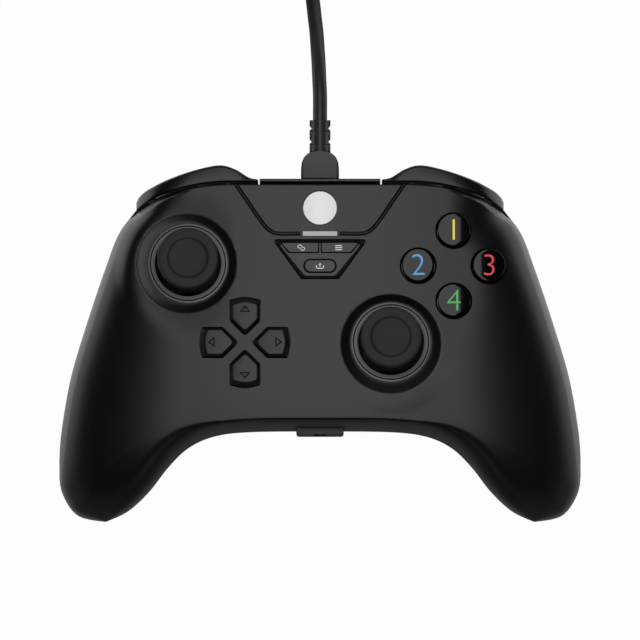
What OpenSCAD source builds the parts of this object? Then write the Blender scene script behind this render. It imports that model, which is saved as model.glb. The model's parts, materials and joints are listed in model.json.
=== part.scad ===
// Wired gamepad with two thumb sticks, a four-key direction pad, face buttons, bumpers and triggers.
// Frame: +X to the right hand, +Y away from the player, +Z out of the face.
// The origin is on the table under the middle of the pad.

/* [Body] */
// Overall width across the two grips
body_w = 154; // [150:1:158]
// Overall length from the grip ends to the front of the bumpers
body_l = 103.2; // [101.2:0.2:105.2]
// Height of the flat face over the table
face_z = 46; // [45:0.5:48]
// Height of the parting line along the front of the sides
seam_z = 27; // [26:0.25:28]
// Drop of the parting line towards the grip ends
seam_drop = 6; // [4:0.5:7]
// Fall of the upper surface towards the grip ends
grip_fall = 12; // [9:0.5:14]
// Wall thickness of the two shells
wall = 2.2; // [1.8:0.1:2.6]
// Gap at the parting line
seam_gap = 0.3; // [0.2:0.05:0.5]
// Width of the rounding on the outer side of the grips
grip_roll = 34; // [28:1:36]
// Width of the rounding on the shoulders
shoulder_roll = 19; // [16:1:24]
// Width of the rounding along the rear edge
rear_roll = 4.5; // [3.5:0.5:6]
// Width of the rounding towards the front
front_roll = 4.5; // [4:0.5:6]
// Width of the rounding on the underside
under_roll = 18; // [14:1:20]

/* [Sticks] */
// Diameter of the stick cap
cap_d = 17.9; // [17:0.1:18.6]
// Height of the top of the cap over the face
cap_rise = 11.6; // [11:0.2:13]
// Thickness of the rim of the cap
cap_t = 4.6; // [4:0.2:5]
// Outer diameter of the bowl round a stick
bowl_d = 29; // [28:0.2:30]
// Outer diameter of the trim ring in a bowl
ring_d = 23.7; // [23.2:0.1:24.4]
// Width of the trim ring
ring_w = 2.15; // [2:0.05:2.3]
// Depth of the trim ring under the face
ring_sink = 1.2; // [0.8:0.1:1.6]
// Width of the square stick module
module_w = 16.4; // [16:0.1:17]
// Height of the stick module
module_h = 10; // [9.6:0.1:10.2]
// Diameter of the stick shaft
shaft_d = 3; // [2.8:0.1:3.2]

/* [Buttons] */
// Distance from the middle of the cluster to each button
cluster_r = 10.45; // [10:0.05:10.8]
// Diameter of a face button
button_d = 9.4; // [9:0.1:9.8]
// Height of a face button over the face
button_rise = 2.4; // [1.8:0.1:3]
// Distance from the middle of the direction pad to the outer end of a key
dpad_reach = 13; // [12.6:0.1:13.2]
// Distance from the middle of the direction pad to the tip of a key
dpad_tip = 2.3; // [2.1:0.1:2.6]
// Width of a direction key
dpad_w = 8.6; // [8.2:0.1:8.8]
// Height of a direction key over the face
dpad_rise = 1.2; // [0.8:0.1:1.6]
// Diameter of the home button
home_d = 9.3; // [9:0.1:10]
// Travel of a face button or direction key
key_travel = 1.1; // [0.8:0.05:1.2]
// Sideways clearance round every button and key
key_gap = 0.35; // [0.3:0.05:0.45]
// Clearance between a button's flange and the wall over it
flange_gap = 0.3; // [0.25:0.05:0.4]
// Thickness of a button's flange
flange_t = 1; // [0.8:0.1:1.2]

/* [Shoulder controls] */
// Width of a trigger
trigger_w = 27; // [26:0.5:28]
// Distance of the trigger's inner side from the middle
trigger_x = 21; // [20.6:0.1:21.6]
// Diameter of the trigger pins
pin_d = 2.4; // [2.2:0.1:2.6]
// Radial running clearance of pins and pivots
run_gap = 0.05; // [0.03:0.01:0.08]
// Gap between the face plate and the inner end of a bumper
bumper_gap = 0.5; // [0.4:0.05:0.7]
// Extra gap at the outer end of a bumper, taken up when it is pressed
bumper_free = 1.1; // [1:0.05:1.3]
// Wall thickness of bumpers and triggers
lever_t = 2; // [1.8:0.1:2.2]
// Half width of the front bridge between the bumpers
bridge_half = 17.8; // [17.4:0.1:18.2]

/* [Inside] */
// Height of the upper face of the circuit board
board_z = 31; // [30.8:0.1:31.2]
// Thickness of the circuit board
board_t = 1.6; // [1.4:0.1:1.8]
// Diameter of the rumble motors
motor_d = 20; // [19:0.5:20.5]
// Radius of the headset jack's bore
jack_r = 1.8; // [1.75:0.05:1.9]
// Radius of the shank of a case screw
screw_r = 1.25; // [1.2:0.05:1.35]

/* [Cord] */
// Diameter of the cord
cord_d = 4.2; // [4:0.1:4.4]
// Distance between neighbouring turns of the coil
coil_pitch = 4.7; // [4.7:0.1:5]
// Turns in each of the four layers of the coil
coil_turns = 4.25; // [4.25:1:5.25]
// Radius of the innermost turn
coil_in_r = 16.5; // [16:0.5:18]

/* [Hidden] */
$fn = 48;
half_w = body_w / 2;
front_y = body_l / 2;
rear_y = -body_l / 2;
tip_trim = 0.25;
edge_power = 2.4;
under_power = 2.2;

// Places are drawn for a pad 154 wide and 103.2 long, and fit() moves them to the real size
wide = body_w / 154;
long = body_l / 103.2;
function fit(points) = [for (p = points) [p.x * wide, p.y * long]];

// Outline of the pad at its parting line, right half, seen from above
front_points = fit([[0, 53.5], [20, 53.5], [34, 52.2], [44, 48.4], [51, 43.6], [55.5, 38.4]]);
side_points = fit([[55.5, 38.4], [59.6, 32.5], [63.2, 23], [68, 8.7], [73.3, -9.1], [76.3, -25.6],
    [77, -35]]);
tip_points = fit([[77, -35], [76.3, -42.9], [71.7, -49.9], [63.2, -52.1]]);
rear_points = fit([[63.2, -52.1], [56.6, -48.7], [50.4, -42.9], [44.4, -35.3], [38.5, -29.9],
    [31, -26.8], [20, -25.6], [0, -25.4]]);
// Front edge of the face plate, where the bumpers start
plate_points = fit([[0, 45.6], [26, 45.6], [33, 45], [38.5, 43.6], [46, 41.5], [53, 38.8], [58, 36.2]]);
// Front of the bumpers, from the bridge to the outer end
bumper_points = concat([[bridge_half, 46.9 * long], [bridge_half + 2.7, 47.1 * long]],
    fit([[25, 49.8], [29.5, 51.1], [36, 50], [44, 47.6], [50, 45.1], [52.3, 43.8], [54.2, 42.2]]));

function clamp01(t) = min(1, max(0, t));
function smooth(t) = let (c = clamp01(t)) c * c * (3 - 2 * c);
function catmull(a, b, c, d, t) =
    0.5 * (2 * b + (c - a) * t + (2 * a - 5 * b + 4 * c - d) * t * t
    + (3 * b - a - 3 * c + d) * t * t * t);
function spline(p, steps) = concat(
    [for (i = [0:len(p) - 2]) for (k = [0:steps - 1])
        catmull(p[max(i - 1, 0)], p[i], p[i + 1], p[min(i + 2, len(p) - 1)], k / steps)],
    [p[len(p) - 1]]);
function reversed(p) = [for (i = [len(p) - 1:-1:0]) p[i]];
function segment_d(p, a, b) =
    let (ab = b - a, t = clamp01(((p - a) * ab) / (ab * ab))) norm(p - a - ab * t);
function path_d(p, path) =
    min([for (i = [0:len(path) - 2]) segment_d(p, path[i], path[i + 1])]);

front_path = spline(front_points, 3);
side_path = concat(spline(side_points, 3), spline(tip_points, 3));
rear_path = spline(rear_points, 3);
upper_path = concat(front_path, spline(side_points, 3));
lower_path = concat(reversed(rear_path), reversed(spline(tip_points, 3)));
plate_path = spline(plate_points, 3);
bumper_path = spline(bumper_points, 3);
function outline_front(x) = lookup(x, upper_path);
function outline_rear(x) = lookup(x, lower_path);
function plate_front(x) = min(lookup(x, plate_path), outline_front(x));

// Height of the parting line, and of the two moulded surfaces over and under it.
// A point is [distance from the middle, y], and inset moves a surface inwards by the wall.
seam_fall_y = -8;
crown_fall_y = -6;
function seam(p) = seam_z - seam_drop * smooth((seam_fall_y - p.y) / (seam_fall_y - rear_y - 8));
function crown(p) = face_z
    - grip_fall * pow(clamp01((crown_fall_y - p.y) / (crown_fall_y - rear_y)), 2);
function side_roll(y) = shoulder_roll + (grip_roll - shoulder_roll) * smooth((22 - y) / 40);
function edge(d, width, power) = pow(1 - pow(clamp01(1 - d / width), power), 1 / power);
function edges(p, inset, side_w, rear_w, front_w, power) =
    edge(max(0, path_d(p, side_path) - inset), side_w, power)
    * edge(max(0, path_d(p, rear_path) - inset), rear_w, power)
    * edge(max(0, path_d(p, front_path) - inset), front_w, power);
function top_z(p, inset = 0) = let (s = seam(p))
    s + (crown(p) - inset - s) * edges(p, inset, side_roll(p.y), rear_roll, front_roll, edge_power);
function face_at(x, y) = top_z([abs(x), y]);
belly_rear_y = 8;
belly_front_y = 24;
under_sink = 0.9;
function belly(y) = 11 * pow(clamp01((belly_rear_y - y) / 34), 2)
    + 7 * pow(clamp01((y - belly_front_y) / 24), 2);
function grip_floor(y) = 11 * smooth((y + 30) / 36);
function floor_z(p) = let (w = smooth((p.x - 22) / 24))
    belly(p.y) * (1 - w) + grip_floor(p.y) * w - under_sink;
function bottom_z(p, inset = 0) = let (s = seam(p))
    max(inset, s - (s - floor_z(p) - inset)
        * edges(p, inset, under_roll, under_roll * 0.8, under_roll * 0.7, under_power));
function floor_at(x, y) = bottom_z([abs(x), y], wall);

// Triangles of a grid of points with the given rows and columns
function grid_faces(rows, cols, start, flip) = [
    for (r = [0:rows - 2]) for (c = [0:cols - 2])
        let (a = start + r * cols + c, b = a + 1, d = a + cols, e = d + 1)
        each flip ? [[a, d, e], [a, e, b]] : [[a, e, d], [a, b, e]]];
function strip_faces(p, q, flip) = [
    for (i = [0:len(p) - 2])
        each flip ? [[p[i], q[i], q[i + 1]], [p[i], q[i + 1], p[i + 1]]]
            : [[p[i], q[i + 1], q[i]], [p[i], p[i + 1], q[i + 1]]]];

// One moulded shell: an outer and an inner skin, joined along the parting line and the front edge
module moulded_shell(front_of, height_of, rim_shift, flip) {
    n = 20;
    m = 15;
    xs = [for (k = [-n:n]) sign(k) * (half_w - tip_trim) * (1 - pow(1 - abs(k) / n, 1.631))];
    ss = [for (j = [0:m]) (1 - cos(180 * j / m)) / 2];
    cols = m + 1;
    rows = 2 * n + 1;
    slope_step = 0.2;
    inner_reach = 20;
    outer = [for (x = xs) let (r = outline_rear(abs(x)), f = front_of(abs(x)))
        for (s = ss) let (p = [abs(x), r + (f - r) * s], z = height_of(p, 0))
            [x, p.y, flip ? min(z, seam(p) + rim_shift) : max(z, seam(p) + rim_shift)]];
    inner = [for (x = xs) let (
            ax = abs(x), r = outline_rear(ax), f = front_of(ax),
            mr = (r - outline_rear(ax - slope_step)) / slope_step,
            mf = (f - front_of(ax - slope_step)) / slope_step,
            nr = [-mr, 1] / norm([mr, 1]), nf = [mf, -1] / norm([mf, 1]),
            open = f < outline_front(ax) - 0.01)
        for (j = [0:m]) let (
            p = [ax, r + (f - r) * ss[j]],
            d = min(path_d(p, side_path), path_d(p, rear_path), path_d(p, front_path)),
            q = p + (ss[j] < 0.5 ? nr : nf) * wall * pow(clamp01(1 - d / inner_reach), 2),
            on_rim = j == 0 || (j == m && !open),
            z = on_rim ? seam(q) : height_of([max(0, q.x), q.y], wall))
            [sign(x) * q.x, q.y, flip ? min(z, seam(q) + rim_shift) : max(z, seam(q) + rim_shift)]];
    count = rows * cols;
    rear_out = [for (k = [0:rows - 1]) k * cols];
    front_out = [for (k = [0:rows - 1]) k * cols + m];
    rear_in = [for (i = rear_out) i + count];
    front_in = [for (i = front_out) i + count];
    first = [for (j = [0:m]) j];
    last = [for (j = [0:m]) (rows - 1) * cols + j];
    caps = [reversed(first), last, [for (i = first) i + count], [for (i = reversed(last)) i + count],
        [first[m], first[0], first[0] + count, first[m] + count],
        [last[0], last[m], last[m] + count, last[0] + count]];
    polyhedron(concat(outer, inner), concat(
        grid_faces(rows, cols, 0, flip), grid_faces(rows, cols, count, !flip),
        strip_faces(rear_out, rear_in, flip), strip_faces(front_out, front_in, !flip),
        [for (c = caps) flip ? reversed(c) : c]));
}

// Solid between a row of rings that all have as many points
module loft(rings) {
    n = len(rings[0]);
    last = (len(rings) - 1) * n;
    polyhedron([for (r = rings) each r], concat(
        [for (i = [0:len(rings) - 2]) for (k = [0:n - 1])
            let (a = i * n + k, b = i * n + (k + 1) % n)
            each [[a, b, b + n], [a, b + n, a + n]]],
        [[for (k = [n - 1:-1:0]) k]], [[for (k = [0:n - 1]) last + k]]));
}

// Outline with rounded corners: each corner is [x, y, radius]
function rounded(corners, steps = 5) = let (n = len(corners)) [
    for (i = [0:n - 1]) let (
        c = [corners[i].x, corners[i].y],
        u = [corners[(i + n - 1) % n].x, corners[(i + n - 1) % n].y] - c,
        v = [corners[(i + 1) % n].x, corners[(i + 1) % n].y] - c,
        a = acos(u * v / norm(u) / norm(v)),
        cut = corners[i][2] / tan(a / 2),
        p = c + cut * u / norm(u), q = c + cut * v / norm(v))
        for (k = [0:steps]) let (t = k / steps)
            p * (1 - t) * (1 - t) + c * 2 * t * (1 - t) + q * t * t];

// Tube along a route of points: rings square to the route
function tube_rings(route, radius, sides) = [
    for (i = [0:len(route) - 1]) let (
        d = route[min(i + 1, len(route) - 1)] - route[max(i - 1, 0)],
        t = d / norm(d),
        u = let (c = cross(t, [0, 0, 1])) c / norm(c),
        v = cross(u, t))
        [for (k = [0:sides - 1]) route[i]
            + radius * (cos(360 * k / sides) * u + sin(360 * k / sides) * v)]];

// Places that several pieces share
stick_spots = fit([[-38.9, 21.8], [20.9, -1.6]]);
cluster_mid = fit([[39.4, 20.9]])[0];
dpad_mid = fit([[-22.1, -1.9]])[0];
button_spots = [for (a = [90, 180, 0, 270]) cluster_mid + cluster_r * [cos(a), sin(a)]];
dpad_turns = [0, 180, 90, 270];
ring_bore_d = ring_d - 2 * ring_w;
home_y = 38.1 * long;
light_y = 30.5 * long;
light_w = 10.2;
light_h = 1.4;
panel_top_y = light_y - 2;
panel_h = 11.3;
panel_top_half = 13.7;
panel_bottom_half = 5.3;
panel_sink = 0.4;
panel_gap = 0.25;
panel_t = 2.4;
share_w = 9.3;
share_h = 3.7;
share_y = panel_top_y - 7.6;
row_key_h = 2.7;
row_key_y = panel_top_y - 0.8 - row_key_h;
row_key_in = 0.5;
row_key_half = 11.4;
row_key_slant = 2.4;
small_travel = 0.6;
stick_z = board_z + 0.55 * module_h;
screw_spots = fit([[60, -38], [-60, -38], [56.5, 8], [-56.5, 8], [0, 8]]);
boss_r = 3.6;
screw_head_r = 2.6;
screw_head_t = 1.8;
boss_split_z = 24;
screw_seat = 4;
motor_x = 57 * wide;
motor_y = -24 * long;
motor_h = 11;
motor_z = 14;
weight_r = 7.4;
weight_h = 6;
post_spots = fit([[47, 20], [-47, 20], [34, -18], [-34, -18]]);
post_r = 2.6;
pivot_y = 36.5 * long;
pivot_z = 24.5;
hub_r = 3.3;
hub_x = trigger_x + 7;
hub_w = trigger_w - 13;
ear_t = 2.4;
ear_gap = 0.4;
bumper_pivot = [bridge_half + 2.8, 44.2 * long];
bumper_in = bridge_half + 0.4;
bumper_out = 54.2 * wide;
bumper_floor = 34;
usb_z = board_z + 1.65;
bridge_y = plate_points[0].y + 0.8;
bridge_t = 1.6;
usb_y = bridge_y - 4.4;
jack_z = board_z - board_t - 3;
jack_y = rear_points[7].y - 1.6;
jack_w = 14;
jack_h = 7.6;

// Lowest point of the upper wall over a round spot, and where a boss ends in or starts from a wall
function spot_points(x, y, r) = [for (a = [0:45:315]) [abs(x + r * cos(a)), y + r * sin(a)]];
function ceiling_at(x, y, r) = min([for (p = spot_points(x, y, r)) top_z(p, wall)]) - flange_gap;
function roof_at(x, y, r) = min([for (p = spot_points(x, y, r)) top_z(p)]) - 0.4;
function base_at(x, y, r) = max([for (p = spot_points(x, y, r)) bottom_z(p)]) + 0.4;

// Outline of a direction key that points away from the player, grown by g and by e at its outer end
function key_outline(g, e) = let (w = dpad_w / 2 + g, tip = dpad_tip - g * sqrt(2), end = dpad_reach + e)
    rounded([[0, tip, 1.1], [w, tip + w, 0.9], [w, end - 0.7, 0.5], [0, end + 0.5, 2.2 * w],
        [-w, end - 0.7, 0.5], [-w, tip + w, 0.9]]);
function panel_outline(g) = rounded([
    [-panel_top_half - 1.6 * g, panel_top_y + g, 1], [panel_top_half + 1.6 * g, panel_top_y + g, 1],
    [panel_bottom_half + g, panel_top_y - panel_h - g, 1.6],
    [-panel_bottom_half - g, panel_top_y - panel_h - g, 1.6]]);
function row_key_outline(g) = rounded([
    [-row_key_half - 1.5 * g, row_key_y + row_key_h + g, 0.4],
    [-row_key_in + g, row_key_y + row_key_h + g, 0.3],
    [-row_key_in + g, row_key_y - g, 0.3], [row_key_slant - row_key_half - 1.2 * g, row_key_y - g, 0.6]], 3);
module share_shape(g) {
    for (s = [-1, 1]) translate([s * (share_w - share_h) / 2, share_y]) circle(d = share_h + 2 * g);
    translate([(share_h - share_w) / 2, share_y - share_h / 2 - g])
        square([share_w - share_h, share_h + 2 * g]);
}
module light_shape(g) {
    translate([-light_w / 2 - g, light_y - light_h / 2 - g]) square([light_w + 2 * g, light_h + 2 * g]);
}

// Shallow groove in the face, from the front edge to the light bar
module face_groove() {
    groove_w = 1.24;
    groove_depth = 0.5;
    marks = spline([[light_w / 2 + 0.6, light_y], [12.4, light_y], [15.4, light_y + 1.4],
        [18.4, light_y + 5.2], [25.8, plate_points[1].y + 1]], 3);
    n = len(marks) - 1;
    loft([for (i = [0:n]) let (
        d = marks[min(i + 1, n)] - marks[max(i - 1, 0)], side_d = [-d.y, d.x] / norm(d) * groove_w / 2,
        z = top_z(marks[i]), a = marks[i] + side_d, b = marks[i] - side_d)
        [[a.x, a.y, z - groove_depth], [b.x, b.y, z - groove_depth], [b.x, b.y, z + 3],
            [a.x, a.y, z + 3]]]);
}

// Upper shell: the face with its openings, the stick bowls and the screw bosses
module top_shell() {
    bowl_deep = 1.5;
    collar_r = bowl_d / 2 + 0.8;
    collar_z = board_z + module_h + 0.5;
    color("#2c2c2e") difference() {
        union() {
            moulded_shell(function(x) plate_front(x), function(p, inset) top_z(p, inset),
                seam_gap / 2, false);
            for (s = stick_spots) translate([s.x, s.y, collar_z])
                cylinder(r = collar_r, h = face_z - 0.05 - collar_z);
            for (s = screw_spots) translate([s.x, s.y, boss_split_z])
                cylinder(r = boss_r, h = roof_at(s.x, s.y, boss_r) - boss_split_z);
        }
        for (s = stick_spots) translate([s.x, s.y, 0]) {
            translate([0, 0, face_z]) rotate_extrude($fn = 72) polygon([[0, 4], [bowl_d / 2, 4],
                [bowl_d / 2, 0], [ring_d / 2 + 0.2, -bowl_deep], [0, -bowl_deep]]);
            translate([0, 0, face_z - ring_sink - 2]) cylinder(d = ring_d + 0.2, h = 6, $fn = 72);
            cylinder(d = ring_d - 2.4, h = 2 * face_z, $fn = 72);
        }
        for (b = button_spots) translate([b.x, b.y, face_z / 2])
            cylinder(d = button_d + 2 * key_gap, h = face_z);
        for (t = dpad_turns) translate([dpad_mid.x, dpad_mid.y, face_z / 2]) rotate(t)
            linear_extrude(face_z) polygon(key_outline(key_gap, key_gap));
        translate([0, home_y, face_z / 2]) cylinder(d = home_d + 2 * key_gap, h = face_z);
        translate([0, 0, face_z / 2]) linear_extrude(face_z) light_shape(0.1);
        translate([0, 0, face_z / 2]) linear_extrude(face_z) polygon(panel_outline(panel_gap));
        for (s = [0, 1]) mirror([s, 0, 0]) face_groove();
        for (s = screw_spots) translate([s.x, s.y, boss_split_z - 1])
            cylinder(r = screw_r + run_gap, h = 9);
        jack_opening();
    }
}

// Space that the jack plate takes in the rear edge of both shells
module jack_opening() {
    translate([-jack_w / 2 - 0.2, jack_y - 4.6, jack_z - jack_h / 2 - 0.2])
        cube([jack_w + 0.4, 9, jack_h + 0.4]);
}

// Lower shell: the belly and grips, with screw bosses, board posts, motor cups and trigger bays
module bottom_shell() {
    bay_gap = 0.6;
    cup_t = 1.8;
    cup_low = 3;
    cup_rise = 5;
    cup_r = motor_d / 2 + 0.1 + cup_t;
    color("#262628") difference() {
        union() {
            moulded_shell(function(x) min(bridge_y, outline_front(x)), function(p, inset) bottom_z(p, inset),
                -seam_gap / 2, true);
            for (s = screw_spots) let (z = base_at(s.x, s.y, boss_r)) translate([s.x, s.y, z])
                cylinder(r = boss_r, h = boss_split_z - z);
            for (s = post_spots) let (z = base_at(s.x, s.y, post_r)) translate([s.x, s.y, z])
                cylinder(r = post_r, h = board_z - board_t - z);
            for (s = [-1, 1]) {
                translate([s * motor_x, motor_y, motor_z - cup_low]) difference() {
                    cylinder(d = motor_d + 2 * cup_t, h = cup_low + cup_rise);
                    translate([0, 0, cup_low]) cylinder(d = motor_d + 0.2, h = motor_h);
                    translate([0, 0, -1]) cylinder(d = motor_d - 2.4, h = motor_h);
                }
                for (a = [90, 210, 330]) let (p = [motor_x, motor_y] + cup_r * [cos(a), sin(a)],
                    z = base_at(p.x, p.y, cup_t))
                    translate([s * p.x, p.y, z]) cylinder(r = cup_t, h = motor_z - 0.5 - z);
            }
        }
        for (s = [0, 1]) mirror([s, 0, 0]) translate([trigger_x - bay_gap, pivot_y - 2, -1])
            cube([trigger_w + 2 * bay_gap, front_y, face_z]);
        for (s = screw_spots) let (z = floor_at(s.x, s.y)) translate([s.x, s.y, 0]) {
            translate([0, 0, -1]) cylinder(r = screw_head_r + 0.3, h = z + screw_seat + 1);
            cylinder(r = screw_r + 0.25, h = face_z);
        }
        jack_opening();
    }
}

// Front bridge between the bumpers, with the cable opening and the bumper pivots
module front_bridge() {
    bridge_top = top_z([0, plate_points[0].y]) - 0.8;
    bridge_low = 10;
    wing_z = bumper_floor - 0.2;
    wing_t = 1.8;
    color("#232325") difference() {
        union() {
            translate([-bridge_half, 0, 0]) rotate([90, 0, 90]) linear_extrude(2 * bridge_half)
                polygon(rounded([[bridge_y, bridge_low, 0.3], [bridge_y + bridge_t, bridge_low + 1, 0.6],
                    [bridge_y + bridge_t, bridge_top - 12, 8], [bridge_y + 0.5, bridge_top, 0.25],
                    [bridge_y - 0.3, bridge_top, 0.2], [bridge_y - 0.3, bridge_top - 1.4, 0.1],
                    [bridge_y, bridge_top - 1.6, 0.1]]));
            for (s = [0, 1]) mirror([s, 0, 0]) {
                translate([bridge_half - 3, bumper_pivot.y - 2.4, wing_z])
                    cube([bumper_pivot.x - bridge_half + 5.1, bridge_y - 0.3 - bumper_pivot.y + 2.4, wing_t]);
                translate([bridge_half - 3, bumper_pivot.y, wing_z])
                    cube([2.5, bridge_y + 0.4 - bumper_pivot.y, wing_t]);
                translate([bumper_pivot.x, bumper_pivot.y, wing_z]) cylinder(d = pin_d, h = 7);
            }
        }
        translate([0, bridge_y - 3, usb_z]) rotate([-90, 0, 0]) linear_extrude(8) usb_shape(9.6, 3.8);
    }
}

// Rounded slot of a cable socket, lying in the plane of the socket's mouth
module usb_shape(w, h) {
    for (s = [-1, 1]) translate([s * (w - h) / 2, 0]) circle(d = h);
    translate([(h - w) / 2, -h / 2]) square([w - h, h]);
}

// Inner frame behind the triggers: a cross wall, four bearing ears and two legs
module trigger_frame() {
    beam_y = pivot_y - hub_r - 3.6;
    beam_t = 2.4;
    beam_low = pivot_z - 6;
    beam_h = board_z - board_t - 0.3 - beam_low;
    ear_len = pivot_y - beam_y;
    leg_r = 2.6;
    leg_x = 12;
    color("#3a3a3e") difference() {
        union() {
            translate([-trigger_x - trigger_w + 1, beam_y, beam_low])
                cube([2 * (trigger_x + trigger_w - 1), beam_t, beam_h]);
            for (s = [-1, 1]) {
                for (x = [hub_x - ear_gap - ear_t, hub_x + hub_w + ear_gap])
                    translate([s > 0 ? x : -x - ear_t, 0, 0]) {
                        translate([0, beam_y + beam_t / 2, pivot_z - 2.8])
                            cube([ear_t, ear_len - beam_t / 2, 5.6]);
                        translate([0, pivot_y, pivot_z]) rotate([0, 90, 0]) cylinder(r = 2.8, h = ear_t);
                    }
                translate([s * leg_x, beam_y + beam_t / 2, floor_at(leg_x, beam_y + 4) + 0.2])
                    cylinder(r = leg_r, h = beam_low + 1 - floor_at(leg_x, beam_y + 4));
            }
        }
        translate([-trigger_x - trigger_w, pivot_y, pivot_z]) rotate([0, 90, 0])
            cylinder(d = pin_d + 2 * run_gap, h = 2 * (trigger_x + trigger_w));
    }
}
module trigger_pin() {
    reach = ear_gap + ear_t + 0.4;
    color("#b8bcc0") translate([hub_x - reach, pivot_y, pivot_z]) rotate([0, 90, 0])
        cylinder(d = pin_d, h = hub_w + 2 * reach);
}

// Trigger: a hooked blade that follows the front of its bumper, two side walls and a hub
function blade_section(x) = let (shift = lookup(x, bumper_path) - 1.2, p = [[-10.6, 33], [-5, 33],
        [-2.4, 32.2], [-1, 30], [-0.4, 26.5], [-1.2, 21.5], [-2, 17], [-1.8, 13.4], [-0.4, 10.4],
        [-0.5, 9], [-1.8, 8.6], [-3.6, 10.6], [-4.6, 14], [-4.6, 17.4], [-3.8, 22], [-3.2, 26.4],
        [-3.4, 28.8], [-4.6, 30.4], [-10.6, 30.6]])
    [for (q = p) [x, max(pivot_y + 0.6, shift + q.x), q.y]];
module trigger() {
    x_end = trigger_x + trigger_w;
    steps = 8;
    arm_t = 2.4;
    side_inset = 0.2;
    color("#1f1f21") difference() {
        union() {
            loft([for (i = [0:steps]) blade_section(trigger_x + trigger_w * i / steps)]);
            for (x = [trigger_x + side_inset, x_end - lever_t - side_inset])
                let (shift = min(lookup(x, bumper_path), lookup(x + lever_t, bumper_path)) - 1.3)
                translate([x, 0, 0]) rotate([90, 0, 90]) linear_extrude(lever_t) polygon([
                    [pivot_y + 2, 32.8], [shift - 5, 32.8], [shift - 1.2, 30], [shift - 0.6, 26.5],
                    [shift - 1.4, 21.5], [shift - 2.2, 17], [shift - 2, 13.4], [shift - 3, 11],
                    [pivot_y + 4.6, 14], [pivot_y + 2, 20]]);
            for (x = [hub_x + side_inset, hub_x + hub_w - arm_t - side_inset])
                translate([x, 0, 0]) rotate([90, 0, 90]) linear_extrude(arm_t) polygon([
                    [pivot_y - 2, pivot_z + 2.4], [pivot_y + 3.4, 31.6],
                    [lookup(x, bumper_path) - 5.4, 31.6], [lookup(x, bumper_path) - 3.4, 26.4],
                    [lookup(x, bumper_path) - 4, 22], [pivot_y, pivot_z - 2.6]]);
            translate([hub_x, pivot_y, pivot_z]) rotate([0, 90, 0]) cylinder(r = hub_r, h = hub_w);
        }
        translate([hub_x - 1, pivot_y, pivot_z]) rotate([0, 90, 0])
            cylinder(d = pin_d + 2 * run_gap, h = hub_w + 2);
    }
}

// Torsion spring round the trigger's hub, one leg on the frame and one behind the blade
module trigger_spring() {
    wire_r = 0.4;
    coil_r = hub_r + 1;
    turns = 4;
    first_x = hub_x + 4;
    pitch = 1.3;
    turn_steps = 10;
    count = turns * turn_steps;
    wind = [for (i = [0:count]) let (a = -90 + 360 * i / turn_steps)
        [first_x + pitch * i / turn_steps, pivot_y + coil_r * cos(a), pivot_z + coil_r * sin(a)]];
    leg_in = [first_x, pivot_y - hub_r - 0.4, pivot_z - coil_r];
    leg_out = [first_x + pitch * turns, pivot_y + 6.6, pivot_z - coil_r];
    color("#a9adb2") loft(spring_rings(concat([leg_in], wind, [leg_out]), wire_r, 6));
}
function spring_rings(route, radius, sides) = [
    for (i = [0:len(route) - 1]) let (
        d = route[min(i + 1, len(route) - 1)] - route[max(i - 1, 0)], t = d / norm(d),
        u = let (c = cross(t, [1, 0, 0])) c / norm(c), v = cross(u, t))
        [for (k = [0:sides - 1]) route[i]
            + radius * (cos(360 * k / sides) * u + sin(360 * k / sides) * v)]];

// Bumper: a curved channel along the front edge, with a pivot lug at its inner end
function bumper_low(x) = bumper_floor - 5 * smooth((x - trigger_x - trigger_w - 0.8) / 2);
function bumper_section(x) = let (lip = 1.2,
    gap = bumper_gap + bumper_free * clamp01((x - bumper_pivot.x) / (bumper_out - bumper_pivot.x)),
    r = plate_front(x) + gap, f = lookup(x, bumper_path), zr = top_z([x, plate_front(x)]) - 0.25,
    zf = zr - 0.03 * (f - r) - 0.1, e = min(0.9, 0.6 * (f - r)), zb = bumper_low(x),
    i = max(f - lever_t, r + 0.35))
    [[x, r, zr], [x, (r + f - e) / 2, (zr + zf) / 2 + 0.1], [x, f - e, zf],
        [x, f - 0.6 * e, zf - 0.12 * e], [x, f - 0.12 * e, zf - 0.6 * e], [x, f, zf - 1.6 * e],
        [x, f - 0.3, zb], [x, min(i, f - 0.5), zb], [x, i, zf - lever_t - 1.1],
        [x, i - 0.2, zf - lever_t - 0.8], [x, r - lip, zr - lever_t - 1.1],
        [x, r - lip, zr - lever_t - 0.4], [x, r, zr - lever_t - 0.3]];
module bumper() {
    steps = 14;
    lug_z = bumper_floor + 2.2;
    lug_h = 3;
    arm_x = bumper_pivot.x + 2;
    color("#1f1f21") difference() {
        union() {
            loft([for (k = [0:steps]) bumper_section(bumper_in + (bumper_out - bumper_in) * k / steps)]);
            translate([bumper_pivot.x, bumper_pivot.y, lug_z]) cylinder(r = 2.2, h = lug_h);
            translate([bumper_pivot.x - 1.2, bumper_pivot.y + 1.6, lug_z])
                cube([7, lookup(arm_x, bumper_path) - bumper_pivot.y - 3, lug_h]);
            translate([arm_x, bumper_pivot.y + 1.6, lug_z])
                cube([3.8, lookup(arm_x, bumper_path) - bumper_pivot.y - 2.1, lug_h]);
        }
        translate([bumper_pivot.x, bumper_pivot.y, lug_z - 1])
            cylinder(d = pin_d + 2 * run_gap, h = lug_h + 2);
    }
}

// Circuit board with clearance for the middle boss
module main_board() {
    color("#1d5a38") translate([0, 0, board_z - board_t]) linear_extrude(board_t) difference() {
        polygon(fit([[-15, 45.4], [15, 45.4], [20, 36], [45, 36], [54, 30], [54, 13], [50, 11], [50, -6],
            [40, -10], [40, -21.6], [-40, -21.6], [-40, -10], [-50, -6], [-50, 11], [-54, 13], [-54, 30],
            [-45, 36], [-20, 36]]));
        translate(screw_spots[4]) circle(r = boss_r + 0.5);
    }
}

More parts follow.
